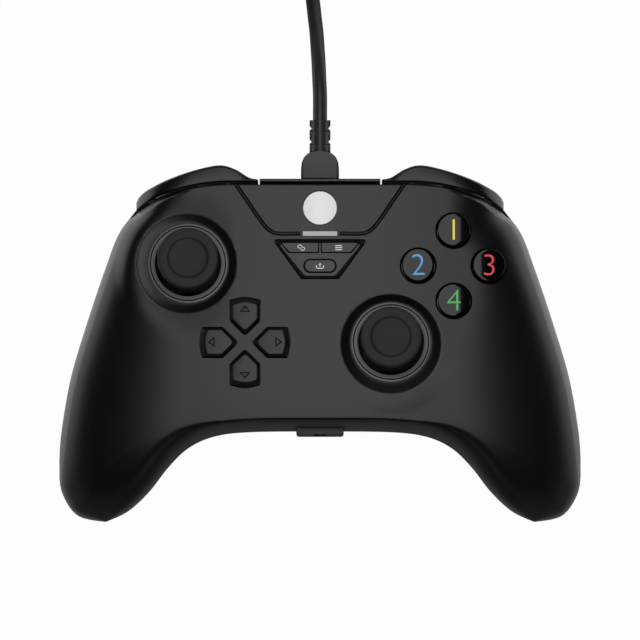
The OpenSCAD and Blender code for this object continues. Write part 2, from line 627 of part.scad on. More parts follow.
// Cable socket on the board
module usb_socket() {
    color("#9a9ea3") difference() {
        translate([-4.5, usb_y, board_z]) cube([9, bridge_y - 1.9 - usb_y, 3.3]);
        translate([0, usb_y + 1, usb_z]) rotate([-90, 0, 0]) linear_extrude(20) usb_shape(8.5, 2.7);
    }
}

// Headset jack under the rear edge of the board, and the plate that frames its mouth
module audio_jack() {
    depth = 13;
    half = 3;
    color("#101012") difference() {
        translate([-half, jack_y + 2, jack_z - half]) cube([2 * half, depth, 2 * half]);
        translate([0, jack_y, jack_z]) rotate([-90, 0, 0]) cylinder(r = jack_r, h = depth);
    }
}
module jack_plate() {
    color("#1a1a1c") difference() {
        translate([0, 0, jack_z - jack_h / 2]) linear_extrude(jack_h) polygon(rounded([
            [-jack_w / 2, jack_y + 1.7, 0.3], [-jack_w / 2, jack_y + 0.4, 0.6],
            [-jack_w / 2 + 0.6, jack_y, 0.3], [jack_w / 2 - 0.6, jack_y, 0.3],
            [jack_w / 2, jack_y + 0.4, 0.6], [jack_w / 2, jack_y + 1.7, 0.3]], 3));
        translate([0, jack_y - 1, jack_z]) rotate([-90, 0, 0]) cylinder(r = jack_r + 0.4, h = 9);
    }
}

// A round button: domed cap, retaining flange and stub over its switch
module round_button(x, y, d, rise, dome) {
    top = face_at(x, y) + rise;
    r = d / 2;
    flange_r = r + 1.1;
    ceiling = ceiling_at(x, y, flange_r) - 0.15;
    arc = [for (k = [0:6]) let (a = 15 * k) [r - 0.7 + 0.7 * sin(a), top - dome - 0.7 + 0.7 * cos(a)]];
    crown_arc = [for (k = [0:5]) let (t = k / 5) [(r - 0.7) * t, top - dome * t * t]];
    translate([x, y, 0]) rotate_extrude() polygon(concat(
        [[0, ceiling - flange_t - 1.4]], crown_arc, [for (k = [1:6]) arc[k]],
        [[r, ceiling], [flange_r, ceiling], [flange_r, ceiling - flange_t], [3, ceiling - flange_t],
            [3, ceiling - flange_t - 1.4]]));
}
module face_button(i) {
    color("#0c0c0d") round_button(button_spots[i].x, button_spots[i].y, button_d, button_rise, 0.5);
}
module home_button() {
    color("#d9d9d9") round_button(0, home_y, home_d, 0.5, 0.5);
}

// One key of the direction pad: bevelled cap, flange and stub
dpad_ceiling = ceiling_at(dpad_mid.x, dpad_mid.y, dpad_reach + 1) - 0.15;
module dpad_key(turn) {
    bevel_in = 0.85;
    bevel_end = 1.7;
    top = face_z + dpad_rise;
    stub_y = (dpad_reach + dpad_tip) / 2 + 0.6;
    color("#29292b") translate([dpad_mid.x, dpad_mid.y, 0]) rotate(turn) {
        loft([for (l = [[0, 0, dpad_ceiling - flange_t], [0, 0, face_z + 0.2],
            [-bevel_in + 0.2, -bevel_end + 0.4, top - 0.15], [-bevel_in, -bevel_end, top]])
            [for (q = reversed(key_outline(l[0], l[1]))) [q.x, q.y, l[2]]]]);
        translate([0, 0, dpad_ceiling - flange_t]) linear_extrude(flange_t) polygon(key_outline(1, 1));
        translate([0, stub_y, dpad_ceiling - flange_t - 1.4]) cylinder(r = 2.6, h = 2);
    }
}

// Sunk panel that frames the three small keys, with its flange under the face
module control_panel() {
    top = face_z - panel_sink;
    low = face_z - wall - flange_gap - flange_t;
    color("#1b1b1d") difference() {
        union() {
            translate([0, 0, low]) linear_extrude(top - low) polygon(panel_outline(0));
            translate([0, 0, low]) linear_extrude(flange_t) polygon(panel_outline(0.7));
        }
        for (s = [0, 1]) mirror([s, 0, 0]) translate([0, 0, low - 1]) linear_extrude(10)
            polygon(row_key_outline(key_gap / 2 + 0.1));
        translate([0, 0, low - 1]) linear_extrude(10) share_shape(key_gap / 2 + 0.1);
    }
}
function small_key_low() = face_z - wall - flange_gap - flange_t - 0.3;
module row_key(side) {
    low = small_key_low();
    color("#2a2a2c") mirror([side < 0 ? 0 : 1, 0, 0]) {
        translate([0, 0, low - 1]) linear_extrude(face_z - low + 1) polygon(row_key_outline(0));
        translate([-row_key_half + 2.6, row_key_y - 0.6, low - flange_t])
            cube([row_key_half - row_key_in - 2.8, row_key_h + 1, flange_t]);
    }
}
module share_key() {
    low = small_key_low();
    color("#2a2a2c") {
        translate([0, 0, low - 1]) linear_extrude(face_z - low + 1) share_shape(0);
        translate([0, 0, low - flange_t]) linear_extrude(flange_t) share_shape(0.7);
    }
}
module light_bar() {
    low = face_z - wall - flange_t;
    color("#b4b4b4") {
        translate([0, 0, low]) linear_extrude(face_z - 0.1 - low) light_shape(0);
        translate([0, 0, low]) linear_extrude(flange_t - 0.05) light_shape(0.5);
    }
}

// Rubber mat with one switch dome under each spot
module dome_mat(spots, top, dome_r) {
    sheet = 0.9;
    color("#4a4a4c") {
        for (s = spots) translate([s.x, s.y, board_z]) {
            cylinder(r = dome_r + 0.9, h = sheet);
            cylinder(r1 = dome_r, r2 = dome_r - 1.1, h = top - board_z);
        }
        for (i = [0:len(spots) - 1]) let (a = spots[i], b = spots[(i + 1) % len(spots)], d = b - a)
            translate([a.x, a.y, board_z]) rotate(atan2(d.y, d.x))
                translate([0, -1.5, 0]) cube([norm(d), 3, sheet]);
    }
}
function ring_order(p) = [p[0], p[1], p[3], p[2]];
module face_mat() {
    low = min([for (b = button_spots) ceiling_at(b.x, b.y, button_d / 2 + 1.1)]) - 0.15 - flange_t - 1.4;
    dome_mat(ring_order(button_spots), low - key_travel - 0.2, 3.6);
}
module dpad_mat() {
    reach = (dpad_reach + dpad_tip) / 2 + 0.6;
    dome_mat([for (t = [90, 180, 270, 0]) dpad_mid + reach * [cos(t), sin(t)]],
        dpad_ceiling - flange_t - 1.4 - key_travel - 0.2, 3.2);
}
module centre_mat() {
    dome_mat([[-6, row_key_y + row_key_h / 2], [6, row_key_y + row_key_h / 2], [0, share_y]],
        small_key_low() - flange_t - small_travel - 0.2, 2);
}

// Trim ring in a stick's bowl
module stick_ring(i) {
    color("#565658") translate([stick_spots[i].x, stick_spots[i].y, face_z - ring_sink])
        rotate_extrude($fn = 72) polygon([[ring_bore_d / 2, -1.9], [ring_d / 2, -1.9],
            [ring_d / 2, -0.3], [ring_d / 2 - 0.5, 0], [ring_d / 2 - 1, -0.05], [ring_d / 2 - 1.2, -0.4],
            [ring_d / 2 - 1.4, -0.05], [ring_bore_d / 2 + 0.2, -0.3], [ring_bore_d / 2, -0.6]]);
}

// Stick module: an open-topped box with the bearings of the yoke
yoke_pin_r = 1.1;
cross_pin_r = 0.9;
yoke_x = 6.2;
yoke_y = 5.4;
yoke_t = 1.5;
yoke_h = 2.8;
module_wall = 1.1;
module stick_housing(i) {
    inner = module_w - 2 * module_wall;
    color("#2f2f33") translate([stick_spots[i].x, stick_spots[i].y, 0]) difference() {
        translate([-module_w / 2, -module_w / 2, board_z]) cube([module_w, module_w, module_h]);
        translate([-inner / 2, -inner / 2, board_z + module_wall])
            cube([inner, inner, module_h - 2 * module_wall]);
        translate([0, 0, stick_z]) cylinder(r = 5.6, h = module_h);
        translate([-module_w, 0, stick_z]) rotate([0, 90, 0])
            cylinder(r = yoke_pin_r + run_gap, h = 2 * module_w);
    }
}
module stick_yoke(i) {
    color("#d8d2c4") translate([stick_spots[i].x, stick_spots[i].y, stick_z]) difference() {
        union() {
            translate([-yoke_x, -yoke_y, -yoke_h / 2]) cube([2 * yoke_x, 2 * yoke_y, yoke_h]);
            translate([-module_w / 2 - 0.6, 0, 0]) rotate([0, 90, 0])
                cylinder(r = yoke_pin_r, h = module_w + 1.2);
        }
        translate([-yoke_x + yoke_t, -yoke_y + yoke_t, -yoke_h])
            cube([2 * (yoke_x - yoke_t), 2 * (yoke_y - yoke_t), 2 * yoke_h]);
        translate([0, -yoke_y - 1, 0]) rotate([-90, 0, 0])
            cylinder(r = cross_pin_r + run_gap, h = 2 * yoke_y + 2);
    }
}
module stick_cross(i) {
    half_x = 2.4;
    half_y = yoke_y - yoke_t - 0.3;
    color("#c9c3b4") translate([stick_spots[i].x, stick_spots[i].y, stick_z]) difference() {
        union() {
            translate([-half_x, -half_y, -1.7]) cube([2 * half_x, 2 * half_y, 3.4]);
            translate([0, -yoke_y, 0]) rotate([-90, 0, 0]) cylinder(r = cross_pin_r, h = 2 * yoke_y);
        }
        translate([0, 0, -5]) cylinder(d = shaft_d + 2 * run_gap, h = 10);
    }
}
module stick_shaft(i) {
    low = stick_z - 2.4;
    color("#8f9296") translate([stick_spots[i].x, stick_spots[i].y, low])
        cylinder(d = shaft_d, h = face_z + cap_rise - cap_t + 1 - low);
}

// Thumb cap: concave top, rim, neck and dust dome in one revolve, bored for the shaft
module stick_cap(i) {
    r = cap_d / 2;
    top = face_z + cap_rise - stick_z;
    under = top - cap_t;
    dome_r = 11;
    dome_a = 34;
    neck_r = 4.3;
    neck_a = asin(neck_r / dome_r);
    dome_t = 1.2;
    crown_r = 6;
    outer_dome = [for (k = [0:6]) let (a = neck_a + (dome_a - neck_a) * k / 6) dome_r * [sin(a), cos(a)]];
    inner_dome = [for (k = [6:-1:0]) let (a = 12 + (dome_a - 12) * k / 6)
        (dome_r - dome_t) * [sin(a), cos(a)]];
    bore_r = shaft_d / 2;
    bore_top = face_z + cap_rise - cap_t + 1 - stick_z;
    color("#242426") translate([stick_spots[i].x, stick_spots[i].y, stick_z]) rotate_extrude($fn = 72)
        polygon(concat([[0, top - 1.3], [crown_r * 0.6, top - 1.2], [crown_r, top - 0.8],
            [crown_r + 0.8, top - 0.2], [r - 1, top], [r - 0.3, top - 0.4], [r, top - 1.1],
            [r, under + 1.2], [r - 0.6, under + 0.3], [neck_r + 1.4, under], [neck_r, under - 1.4]],
            outer_dome, inner_dome, [[bore_r, (dome_r - dome_t) * cos(12)], [bore_r, bore_top],
            [0, bore_top]]));
}

// Rumble motor in its cup, and the eccentric weight with its shaft under it
module rumble_motor(side) {
    color("#8a8d91") translate([side * motor_x, motor_y, motor_z]) difference() {
        cylinder(d = motor_d, h = motor_h);
        translate([0, 0, -1]) cylinder(r = 1 + run_gap, h = 6);
    }
}
module rumble_weight(side) {
    low = motor_z - 1.6 - weight_h;
    color("#6f6a62") translate([side * motor_x, motor_y, 0]) {
        translate([0, 0, low]) cylinder(r = 1, h = motor_z + 4.8 - low);
        translate([0, 0, low]) linear_extrude(weight_h) difference() {
            union() {
                circle(r = weight_r);
                circle(r = 2.4);
            }
            translate([-weight_r - 1, 1.2]) square(2 * weight_r + 2);
        }
    }
}

// Case screws, driven from below through both shells' bosses
module case_screws() {
    color("#55585c") for (s = screw_spots) let (z = floor_at(s.x, s.y) + screw_seat)
        translate([s.x, s.y, z - screw_head_t]) {
            cylinder(r = screw_head_r, h = screw_head_t);
            cylinder(r = screw_r, h = boss_split_z + 7 - z + screw_head_t);
        }
}

// Cord: plug in the pad, ribbed strain relief, free lead, coil, tie and the plug at the far end
plug_w = 11.3;
plug_t = 6.6;
plug_y = bridge_y + bridge_t + 0.3;
plug_l = 8.2;
relief_d = 6.2;
relief_l = 9.3;
cord_r = cord_d / 2;
lead_y = plug_y + plug_l + relief_l;
tie_t = 0.8;
tie_gap = 0.3;
coil_z = cord_r + tie_t + tie_gap;
coil_out_r = coil_in_r + coil_turns * coil_pitch;
lead_marks = [[0, 0, usb_z], [0, 2.4, 32.7], [0, 7.4, 32.4], [-0.2, 12.4, 31.4], [-0.4, 17.4, 29.4],
    [-0.7, 22.4, 26.4], [-1, 27.4, 22.6], [-1.5, 32.4, 18.4], [-2, 37.4, 14.2], [-2.6, 42.4, 10.4],
    [-3.3, 47.4, 7.3], [-4, 52.4, 5.1], [-4.6, 58.4, 3.7], [-5, 64.4, coil_z], [-5, 70.4, coil_z],
    [-5, 78.4, coil_z]];
lead_route = [for (m = lead_marks) [m.x, lead_y + m.y, m.z]];
coil_mid = [lead_route[15].x - coil_out_r, lead_route[15].y];

module usb_plug() {
    color("#2b2b2d") intersection() {
        translate([0, plug_y, usb_z]) rotate([-90, 0, 0]) linear_extrude(plug_l + 1)
            usb_shape_square(plug_w, plug_t, 0.9);
        translate([0, plug_y, usb_z - plug_t]) linear_extrude(2 * plug_t)
            polygon(rounded([[0.02 - plug_w / 2, -1, 0.05], [plug_w / 2 - 0.02, -1, 0.05],
                [plug_w / 2 - 0.02, plug_l, 5.5], [0.02 - plug_w / 2, plug_l, 5.5]]));
    }
    color("#b9bcc0") translate([0, usb_y + 1.4, usb_z]) rotate([-90, 0, 0])
        linear_extrude(plug_y - usb_y - 1) usb_shape(8.2, 2.4);
}
module usb_shape_square(w, h, r) {
    polygon(rounded([[-w / 2, -h / 2, r], [w / 2, -h / 2, r], [w / 2, h / 2, r], [-w / 2, h / 2, r]]));
}
module strain_relief() {
    wing_t = 3.6;
    spine_d = 4.9;
    slot_l = 0.8;
    notch = 1.5;
    step = relief_l * 0.43;
    color("#222224") translate([0, plug_y + plug_l, usb_z]) difference() {
        union() {
            rotate([-90, 0, 0]) linear_extrude(relief_l) usb_shape_square(relief_d, wing_t, 0.7);
            rotate([-90, 0, 0]) cylinder(d = spine_d, h = relief_l);
        }
        for (k = [0, 1]) for (s = [-1, 1]) {
            translate([s * (relief_d / 2 + 0.2), relief_l * 0.33 + step * k, 0]) rotate(45)
                cube([notch, notch, 2 * wing_t], center = true);
            for (t = [-1, 1]) translate([s * (spine_d / 4 + relief_d / 2), relief_l * 0.18 + step * k,
                t * (wing_t / 2 + 0.2)]) cube([relief_d, slot_l, 2.2], center = true);
        }
    }
}
module cord_lead() {
    color("#1c1c1e") loft(tube_rings(lead_route, cord_r, 10));
}

// The coil spirals in and out through four layers, climbs while the spiral turns back,
// and ends over the top layer at the plug
far_plug_t = 8;
far_plug_w = 12;
far_plug_l = 19;
layer_h = coil_pitch;
tail_z = coil_z + 3 * layer_h + cord_r + 0.3 + far_plug_t / 2;
tail_r = 20;
loop_steps = 24;
function climb(t, at) = smooth((t - at + 0.25) / 0.5);
function coil_radius(t) = let (u = t / coil_turns, k = floor(u), f = u - k)
    k % 2 == 0 ? coil_out_r - f * coil_turns * coil_pitch : coil_in_r + f * coil_turns * coil_pitch;
function coil_height(t) = coil_z
    + layer_h * (climb(t, coil_turns) + climb(t, 2 * coil_turns) + climb(t, 3 * coil_turns))
    + (tail_z - coil_z - 3 * layer_h) * smooth((t - 4 * coil_turns + 0.5) / 0.5);
function coil_point(t) = [coil_mid.x + coil_radius(t) * cos(360 * t),
    coil_mid.y + coil_radius(t) * sin(360 * t), coil_height(t)];
coil_steps = round(4 * coil_turns * loop_steps);
coil_wind = [for (i = [0:coil_steps]) coil_point(min(i / loop_steps, 4 * coil_turns - 0.0001))];
tail_turn = [for (k = [1:6]) let (a = 15 * k)
    [coil_mid.x + coil_out_r - tail_r + tail_r * cos(a), coil_mid.y + tail_r * sin(a), tail_z]];
tail_end = [coil_mid.x + coil_out_r - tail_r - cord_d, coil_mid.y + tail_r, tail_z];
coil_start = [lead_route[15].x, lead_route[15].y, coil_z];
function route_length(p) = [for (i = [0:len(p) - 2]) norm(p[i + 1] - p[i])] * [for (i = [0:len(p) - 2]) 1];
module cord_coil() {
    route = concat([coil_start], [for (i = [1:coil_steps]) coil_wind[i]], tail_turn, [tail_end]);
    apart = loop_steps / 2;
    last = len(route) - 1;
    gap = min([for (i = [0:2:last - apart]) for (j = [i + apart:1:min(last, i + 3 * loop_steps)])
        norm(route[i] - route[j])]) - cord_d;
    echo(coil_gap_mm = gap, coil_length_mm = route_length(route), lead_length_mm = route_length(lead_route));
    color("#1c1c1e") loft(tube_rings(route, cord_r, 6));
}
module cord_tie() {
    tie_w = 12;
    inner_r = coil_in_r - cord_r - 1.3;
    outer_r = coil_out_r + cord_r + 0.9;
    top = coil_z + 3 * layer_h + cord_r + 1.6;
    color("#151516") translate([coil_mid.x, coil_mid.y, 0]) rotate(215) translate([0, tie_w / 2, 0])
        rotate([90, 0, 0]) linear_extrude(tie_w) difference() {
            polygon(rounded([[inner_r - tie_t, 0, 1.5], [outer_r + tie_t, 0, 1.5],
                [outer_r + tie_t, top + tie_t, 1.5], [inner_r - tie_t, top + tie_t, 1.5]]));
            polygon(rounded([[inner_r, tie_t, 1], [outer_r, tie_t, 1], [outer_r, top, 1],
                [inner_r, top, 1]]));
        }
}
module far_plug() {
    tongue_l = 14;
    tongue_h = 4.5;
    sheet = 0.5;
    color("#2b2b2d") translate([tail_end.x, tail_end.y, tail_z]) rotate([0, 0, 180]) {
        rotate([90, 0, 90]) linear_extrude(far_plug_l) usb_shape_square(far_plug_w, far_plug_t, 2);
        color("#b9bcc0") difference() {
            translate([far_plug_l, -6, -tongue_h / 2]) cube([tongue_l, 12, tongue_h]);
            translate([far_plug_l + 2, -6 + sheet, -0.2])
                cube([tongue_l, 12 - 2 * sheet, tongue_h / 2 + 0.2 - sheet]);
        }
    }
}

top_shell();
bottom_shell();
front_bridge();
trigger_frame();
main_board();
usb_socket();
audio_jack();
jack_plate();
control_panel();
light_bar();
home_button();
row_key(-1);  // view_key
row_key(1);  // menu_key
share_key();
face_button(0);  // face_button_top
face_button(1);  // face_button_left
face_button(2);  // face_button_right
face_button(3);  // face_button_bottom
dpad_key(0);  // dpad_key_up
dpad_key(180);  // dpad_key_down
dpad_key(90);  // dpad_key_left
dpad_key(270);  // dpad_key_right
face_mat();
dpad_mat();
centre_mat();
mirror([1, 0, 0]) bumper();  // left_bumper
bumper();  // right_bumper
mirror([1, 0, 0]) trigger();  // left_trigger
trigger();  // right_trigger
mirror([1, 0, 0]) trigger_pin();  // left_trigger_pin
trigger_pin();  // right_trigger_pin
mirror([1, 0, 0]) trigger_spring();  // left_trigger_spring
trigger_spring();  // right_trigger_spring
stick_ring(0);  // left_stick_ring
stick_ring(1);  // right_stick_ring
stick_housing(0);  // left_stick_housing
stick_housing(1);  // right_stick_housing
stick_yoke(0);  // left_stick_yoke
stick_yoke(1);  // right_stick_yoke
stick_cross(0);  // left_stick_cross
stick_cross(1);  // right_stick_cross
stick_shaft(0);  // left_stick_shaft
stick_shaft(1);  // right_stick_shaft
stick_cap(0);  // left_stick_cap
stick_cap(1);  // right_stick_cap
rumble_motor(-1);  // left_rumble_motor
rumble_motor(1);  // right_rumble_motor
rumble_weight(-1);  // left_rumble_weight
rumble_weight(1);  // right_rumble_weight
case_screws();
usb_plug();
strain_relief();
cord_lead();
cord_coil();
cord_tie();
far_plug();
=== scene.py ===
# %% [markdown]
# # A wired gamepad
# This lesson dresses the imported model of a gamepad: two moulded shells, thumb sticks, keys, bumpers,
# triggers and a cord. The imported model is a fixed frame. Pieces that show get finer surfaces here, and
# the rest of the frame only gets its finishes. Lengths are in millimetres and turned to metres by MM.

import json
import math

import bpy
import numpy as np
from mathutils import Matrix, Vector


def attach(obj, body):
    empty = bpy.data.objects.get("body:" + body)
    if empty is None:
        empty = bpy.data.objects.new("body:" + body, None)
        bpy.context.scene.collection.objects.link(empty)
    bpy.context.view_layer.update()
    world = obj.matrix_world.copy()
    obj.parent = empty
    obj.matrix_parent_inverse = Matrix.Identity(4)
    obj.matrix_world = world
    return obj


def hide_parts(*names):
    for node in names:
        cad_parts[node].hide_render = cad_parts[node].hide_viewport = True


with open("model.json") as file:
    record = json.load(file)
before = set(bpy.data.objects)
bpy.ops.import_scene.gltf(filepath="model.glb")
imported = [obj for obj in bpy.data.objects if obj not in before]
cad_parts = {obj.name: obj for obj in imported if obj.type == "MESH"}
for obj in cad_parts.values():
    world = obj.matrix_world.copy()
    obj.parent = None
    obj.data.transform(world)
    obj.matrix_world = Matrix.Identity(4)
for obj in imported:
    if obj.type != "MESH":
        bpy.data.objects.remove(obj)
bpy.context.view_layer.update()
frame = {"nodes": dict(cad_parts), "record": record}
scene = bpy.context.scene
scene.view_settings.view_transform = "Standard"
MM = 0.001

# %% [markdown]
# ## Camera
# The photograph looks down on the face from a little behind it, with a long lens, so the lines hardly
# converge. A camera far away with a narrow view does the same.

# %% Camera
VIEW_ELEVATION = math.radians(82.6)
VIEW_DISTANCE = 8000
VIEW_WIDTH = 188.5
VIEW_TARGET = Vector((0, 4.78, 46))
camera_data = bpy.data.cameras.new("camera")
camera_data.sensor_width = 36
camera_data.lens = camera_data.sensor_width * VIEW_DISTANCE / VIEW_WIDTH
camera_data.clip_end = 100
camera = bpy.data.objects.new("camera", camera_data)
scene.collection.objects.link(camera)
view_back = Vector((0, -math.cos(VIEW_ELEVATION), math.sin(VIEW_ELEVATION)))
camera.location = (VIEW_TARGET + view_back * VIEW_DISTANCE) * MM
camera.rotation_mode = "QUATERNION"
camera.rotation_quaternion = (-view_back).to_track_quat("-Z", "Y")
scene.camera = camera
print("lens", round(camera_data.lens, 1), "mm")

# %% [markdown]
# ## Cord route
# The cord leaves its ribbed sleeve, sinks to the table and is wound into a flat coil of four layers, with
# the far plug on top. Its route comes before its body, because the route has the real length. The free
# part has listed points, joined by a smooth curve, and a loop winds the coil.

# %% Cord route
FACE_Z = 46
CORD_R = 2.1
SOCKET_Z = 32.65
RELIEF_END_Y = 65.8
lead_marks = [(0, 0, SOCKET_Z), (0, 2.4, 32.7), (0, 7.4, 32.4), (-0.2, 12.4, 31.4), (-0.4, 17.4, 29.4),
              (-0.7, 22.4, 26.4), (-1, 27.4, 22.6), (-1.5, 32.4, 18.4), (-2, 37.4, 14.2), (-2.6, 42.4, 10.4),
              (-3.3, 47.4, 7.3), (-4, 52.4, 5.1), (-4.6, 58.4, 3.7), (-5, 64.4, 3.2), (-5, 70.4, 3.2),
              (-5, 78.4, 3.2)]
lead_points = [(x, RELIEF_END_Y + y, z) for x, y, z in lead_marks]
COIL_PITCH = 4.7
COIL_TURNS = 4.25
COIL_IN_R = 16.5
COIL_OUT_R = COIL_IN_R + COIL_TURNS * COIL_PITCH
COIL_LAYERS = 4
COIL_STEPS = 48
TIE_T = 0.8
COIL_Z = CORD_R + TIE_T + 0.3
FAR_PLUG_T = 8
TAIL_R = 20
TAIL_Z = COIL_Z + (COIL_LAYERS - 1) * COIL_PITCH + CORD_R + 0.3 + FAR_PLUG_T / 2
coil_mid = (lead_points[-1][0] - COIL_OUT_R, lead_points[-1][1])


def smooth(t):
    c = np.clip(t, 0, 1)
    return c * c * (3 - 2 * c)


def spline(points, steps):
    """Points on a smooth curve through the given points."""
    p = np.array(points, float)
    last = len(p) - 1
    out = []
    for i in range(last):
        a, b, c, d = p[max(i - 1, 0)], p[i], p[i + 1], p[min(i + 2, last)]
        for t in np.arange(steps) / steps:
            out.append(0.5 * (2 * b + (c - a) * t + (2 * a - 5 * b + 4 * c - d) * t * t
                              + (3 * b - a - 3 * c + d) * t ** 3))
    return np.array(out + [p[last]])


def coil_point(t):
    """The coil after t turns: it spirals in and out, and climbs a layer at each turning back."""
    layer = math.floor(t / COIL_TURNS)
    along = (t / COIL_TURNS - layer) * COIL_TURNS * COIL_PITCH
    r = COIL_OUT_R - along if layer % 2 == 0 else COIL_IN_R + along
    z = COIL_Z + sum(COIL_PITCH * smooth((t - k * COIL_TURNS + 0.25) / 0.5) for k in range(1, COIL_LAYERS))
    top = COIL_Z + (COIL_LAYERS - 1) * COIL_PITCH
    z += (TAIL_Z - top) * smooth((t - COIL_LAYERS * COIL_TURNS + 0.5) / 0.5)
    a = math.tau * t
    return coil_mid[0] + r * math.cos(a), coil_mid[1] + r * math.sin(a), z


turns = COIL_LAYERS * COIL_TURNS
coil_points = [coil_point(min(i / COIL_STEPS, turns - 0.0001)) for i in range(1, round(turns * COIL_STEPS) + 1)]
tail_x = coil_mid[0] + COIL_OUT_R - TAIL_R
tail_points = [(tail_x + TAIL_R * math.cos(a), coil_mid[1] + TAIL_R * math.sin(a), TAIL_Z)
               for a in np.radians(np.arange(7.5, 91, 7.5))]
tail_points.append((tail_x - 2 * CORD_R, coil_mid[1] + TAIL_R, TAIL_Z))
route = np.vstack([spline(lead_points, 5), coil_points, tail_points])

# %% [markdown]
# ## Cord
# A lead is one even tube from end to end. A curve with a round bevel is the natural tool: the points say
# where it lies, and the bevel gives its thickness. It stands for the frame's two plain cord solids.

# %% Cord
cord_curve = bpy.data.curves.new("cord", "CURVE")
cord_curve.dimensions = "3D"
cord_curve.bevel_depth = 1
cord_curve.bevel_resolution = 4
cord_curve.use_fill_caps = True
cord_line = cord_curve.splines.new("POLY")
cord_line.points.add(len(route) - 1)
cord_line.points.foreach_set("co", np.c_[route * MM, np.ones(len(route))].ravel())
cord_line.points.foreach_set("radius", np.full(len(route), CORD_R * MM))
cord_line.use_smooth = True
cord = bpy.data.objects.new("cord", cord_curve)
scene.collection.objects.link(cord)
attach(cord, "root")
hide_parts("cord_lead", "cord_coil")
print("cord curve of", len(cord_line.points), "points")

# %% [markdown]
# ## Finishes
# Nearly everything is black moulded plastic, so one small node group makes its grain: a fine noise that
# feeds a bump and shifts the roughness a little. Each material has its own Principled shader and sets the
# group's values. The gloss comes from the shader and the lights, not from paint.

# %% Grain group
def grain_group():
    """Fine moulded grain: a height for a bump, and a roughness that varies a little."""
    group = bpy.data.node_groups.new("moulded_grain", "ShaderNodeTree")
    for name, default in (("Scale", 2500.0), ("Roughness", 0.4), ("Spread", 0.05)):
        socket = group.interface.new_socket(name, in_out="INPUT", socket_type="NodeSocketFloat")
        socket.default_value = default
    for name in ("Height", "Roughness"):
        group.interface.new_socket(name, in_out="OUTPUT", socket_type="NodeSocketFloat")
    put, link = group.nodes.new, group.links.new
    inputs = put("NodeGroupInput")
    outputs = put("NodeGroupOutput")
    where = put("ShaderNodeTexCoord")
    noise = put("ShaderNodeTexNoise")
    noise.inputs["Detail"].default_value = 3
    link(where.outputs["Object"], noise.inputs["Vector"])
    link(inputs.outputs["Scale"], noise.inputs["Scale"])
    centred = put("ShaderNodeMath")
    centred.operation = "SUBTRACT"
    centred.inputs[1].default_value = 0.5
    link(noise.outputs["Fac"], centred.inputs[0])
    varied = put("ShaderNodeMath")
    varied.operation = "MULTIPLY_ADD"
    link(centred.outputs[0], varied.inputs[0])
    link(inputs.outputs["Spread"], varied.inputs[1])
    link(inputs.outputs["Roughness"], varied.inputs[2])
    link(noise.outputs["Fac"], outputs.inputs["Height"])
    link(varied.outputs[0], outputs.inputs["Roughness"])
    return group


GRAIN = grain_group()


def finish(name, colour, rough, grain=0.0, scale=2500, spread=0.05, metal=0.0, specular=0.5):
    """A plastic, rubber or metal with the shared grain."""
    material = bpy.data.materials.new(name)
    material.use_nodes = True
    tree = material.node_tree
    shader = tree.nodes["Principled BSDF"]
    shader.inputs["Base Color"].default_value = (*colour, 1)
    shader.inputs["Metallic"].default_value = metal
    shader.inputs["Specular IOR Level"].default_value = specular
    marks = tree.nodes.new("ShaderNodeGroup")
    marks.node_tree = GRAIN
    marks.inputs["Scale"].default_value = scale
    marks.inputs["Roughness"].default_value = rough
    marks.inputs["Spread"].default_value = spread
    tree.links.new(marks.outputs["Roughness"], shader.inputs["Roughness"])
    if grain:
        bump = tree.nodes.new("ShaderNodeBump")
        bump.inputs["Strength"].default_value = grain
        bump.inputs["Distance"].default_value = 0.00005
        tree.links.new(marks.outputs["Height"], bump.inputs["Height"])
        tree.links.new(bump.outputs["Normal"], shader.inputs["Normal"])
    return material


def grey(level):
    return (level, level, level * 1.02)


FINISHES = {
    "shell": finish("shell_black", grey(0.0025), 0.40, grain=0.10, specular=0.65),
    "lever": finish("lever_black", grey(0.0025), 0.38, grain=0.08, specular=0.65),
    "panel": finish("panel_black", grey(0.016), 0.40, grain=0.05, specular=0.65),
    "key": finish("key_black", grey(0.003), 0.40, grain=0.05, specular=0.62),
    "button": finish("button_gloss", grey(0.002), 0.04, spread=0.01, specular=0.3),
    "home": finish("home_pale", (0.78, 0.78, 0.78), 0.30, spread=0.02),
    "light": finish("light_grey", grey(0.42), 0.35),
    "ring": finish("ring_grey", grey(0.11), 0.36, grain=0.05),
    "cap": finish("cap_rubber", grey(0.012), 0.62, grain=0.2, scale=1800),
    "housing": finish("housing_black", grey(0.003), 0.6, specular=0.2),
    "gimbal": finish("gimbal_black", grey(0.006), 0.5, specular=0.3),
    "steel": finish("plain_steel", (0.55, 0.56, 0.57), 0.32, metal=1.0),
    "board": finish("board_green", (0.004, 0.024, 0.010), 0.45, specular=0.3),
    "mat": finish("mat_rubber", grey(0.06), 0.7, grain=0.1),
    "cord": finish("cord_black", grey(0.02), 0.38, grain=0.05),
    "plug": finish("plug_black", grey(0.034), 0.42, grain=0.08),
}
POLISHED = finish("polished_black", grey(0.004), 0.3, specular=1.0)
# A darker, duller black that paints shade on the dust domes, the trim ring lines and the engraved triangles.
SHADE_BLACK = finish("painted_shade_black", grey(0.002), 0.6, specular=0.15)


def dress(obj, slot):
    """Gives a piece the finish of one of the record's slots."""
    obj.data.materials.clear()
    obj.data.materials.append(FINISHES[slot])


for part in frame["record"]["subparts"]:
    node = frame["nodes"][part["node"]]
    node.data.materials.clear()
    node.data.materials.append(FINISHES[part["material_slot"]])
cord_curve.materials.append(FINISHES["cord"])
print(len(FINISHES), "finishes")

# %% [markdown]
# ## Tools of the bench
# A few steps come back for many pieces: clearing the selection, because loading leaves every node
# selected; turning a profile on a lathe with Spin; skinning a row of rings; easing the sharp edges of a
# copied node with a bevel; cutting with a Boolean; and giving some faces a second material, a polish or a
# painted shade. Each step ends with an applied modifier, so the finished mesh is what shows.

# %% Bench tools
def only(obj):
    """Selects this object alone and makes it active."""
    bpy.ops.object.select_all(action="DESELECT")
    obj.select_set(True)
    bpy.context.view_layer.objects.active = obj


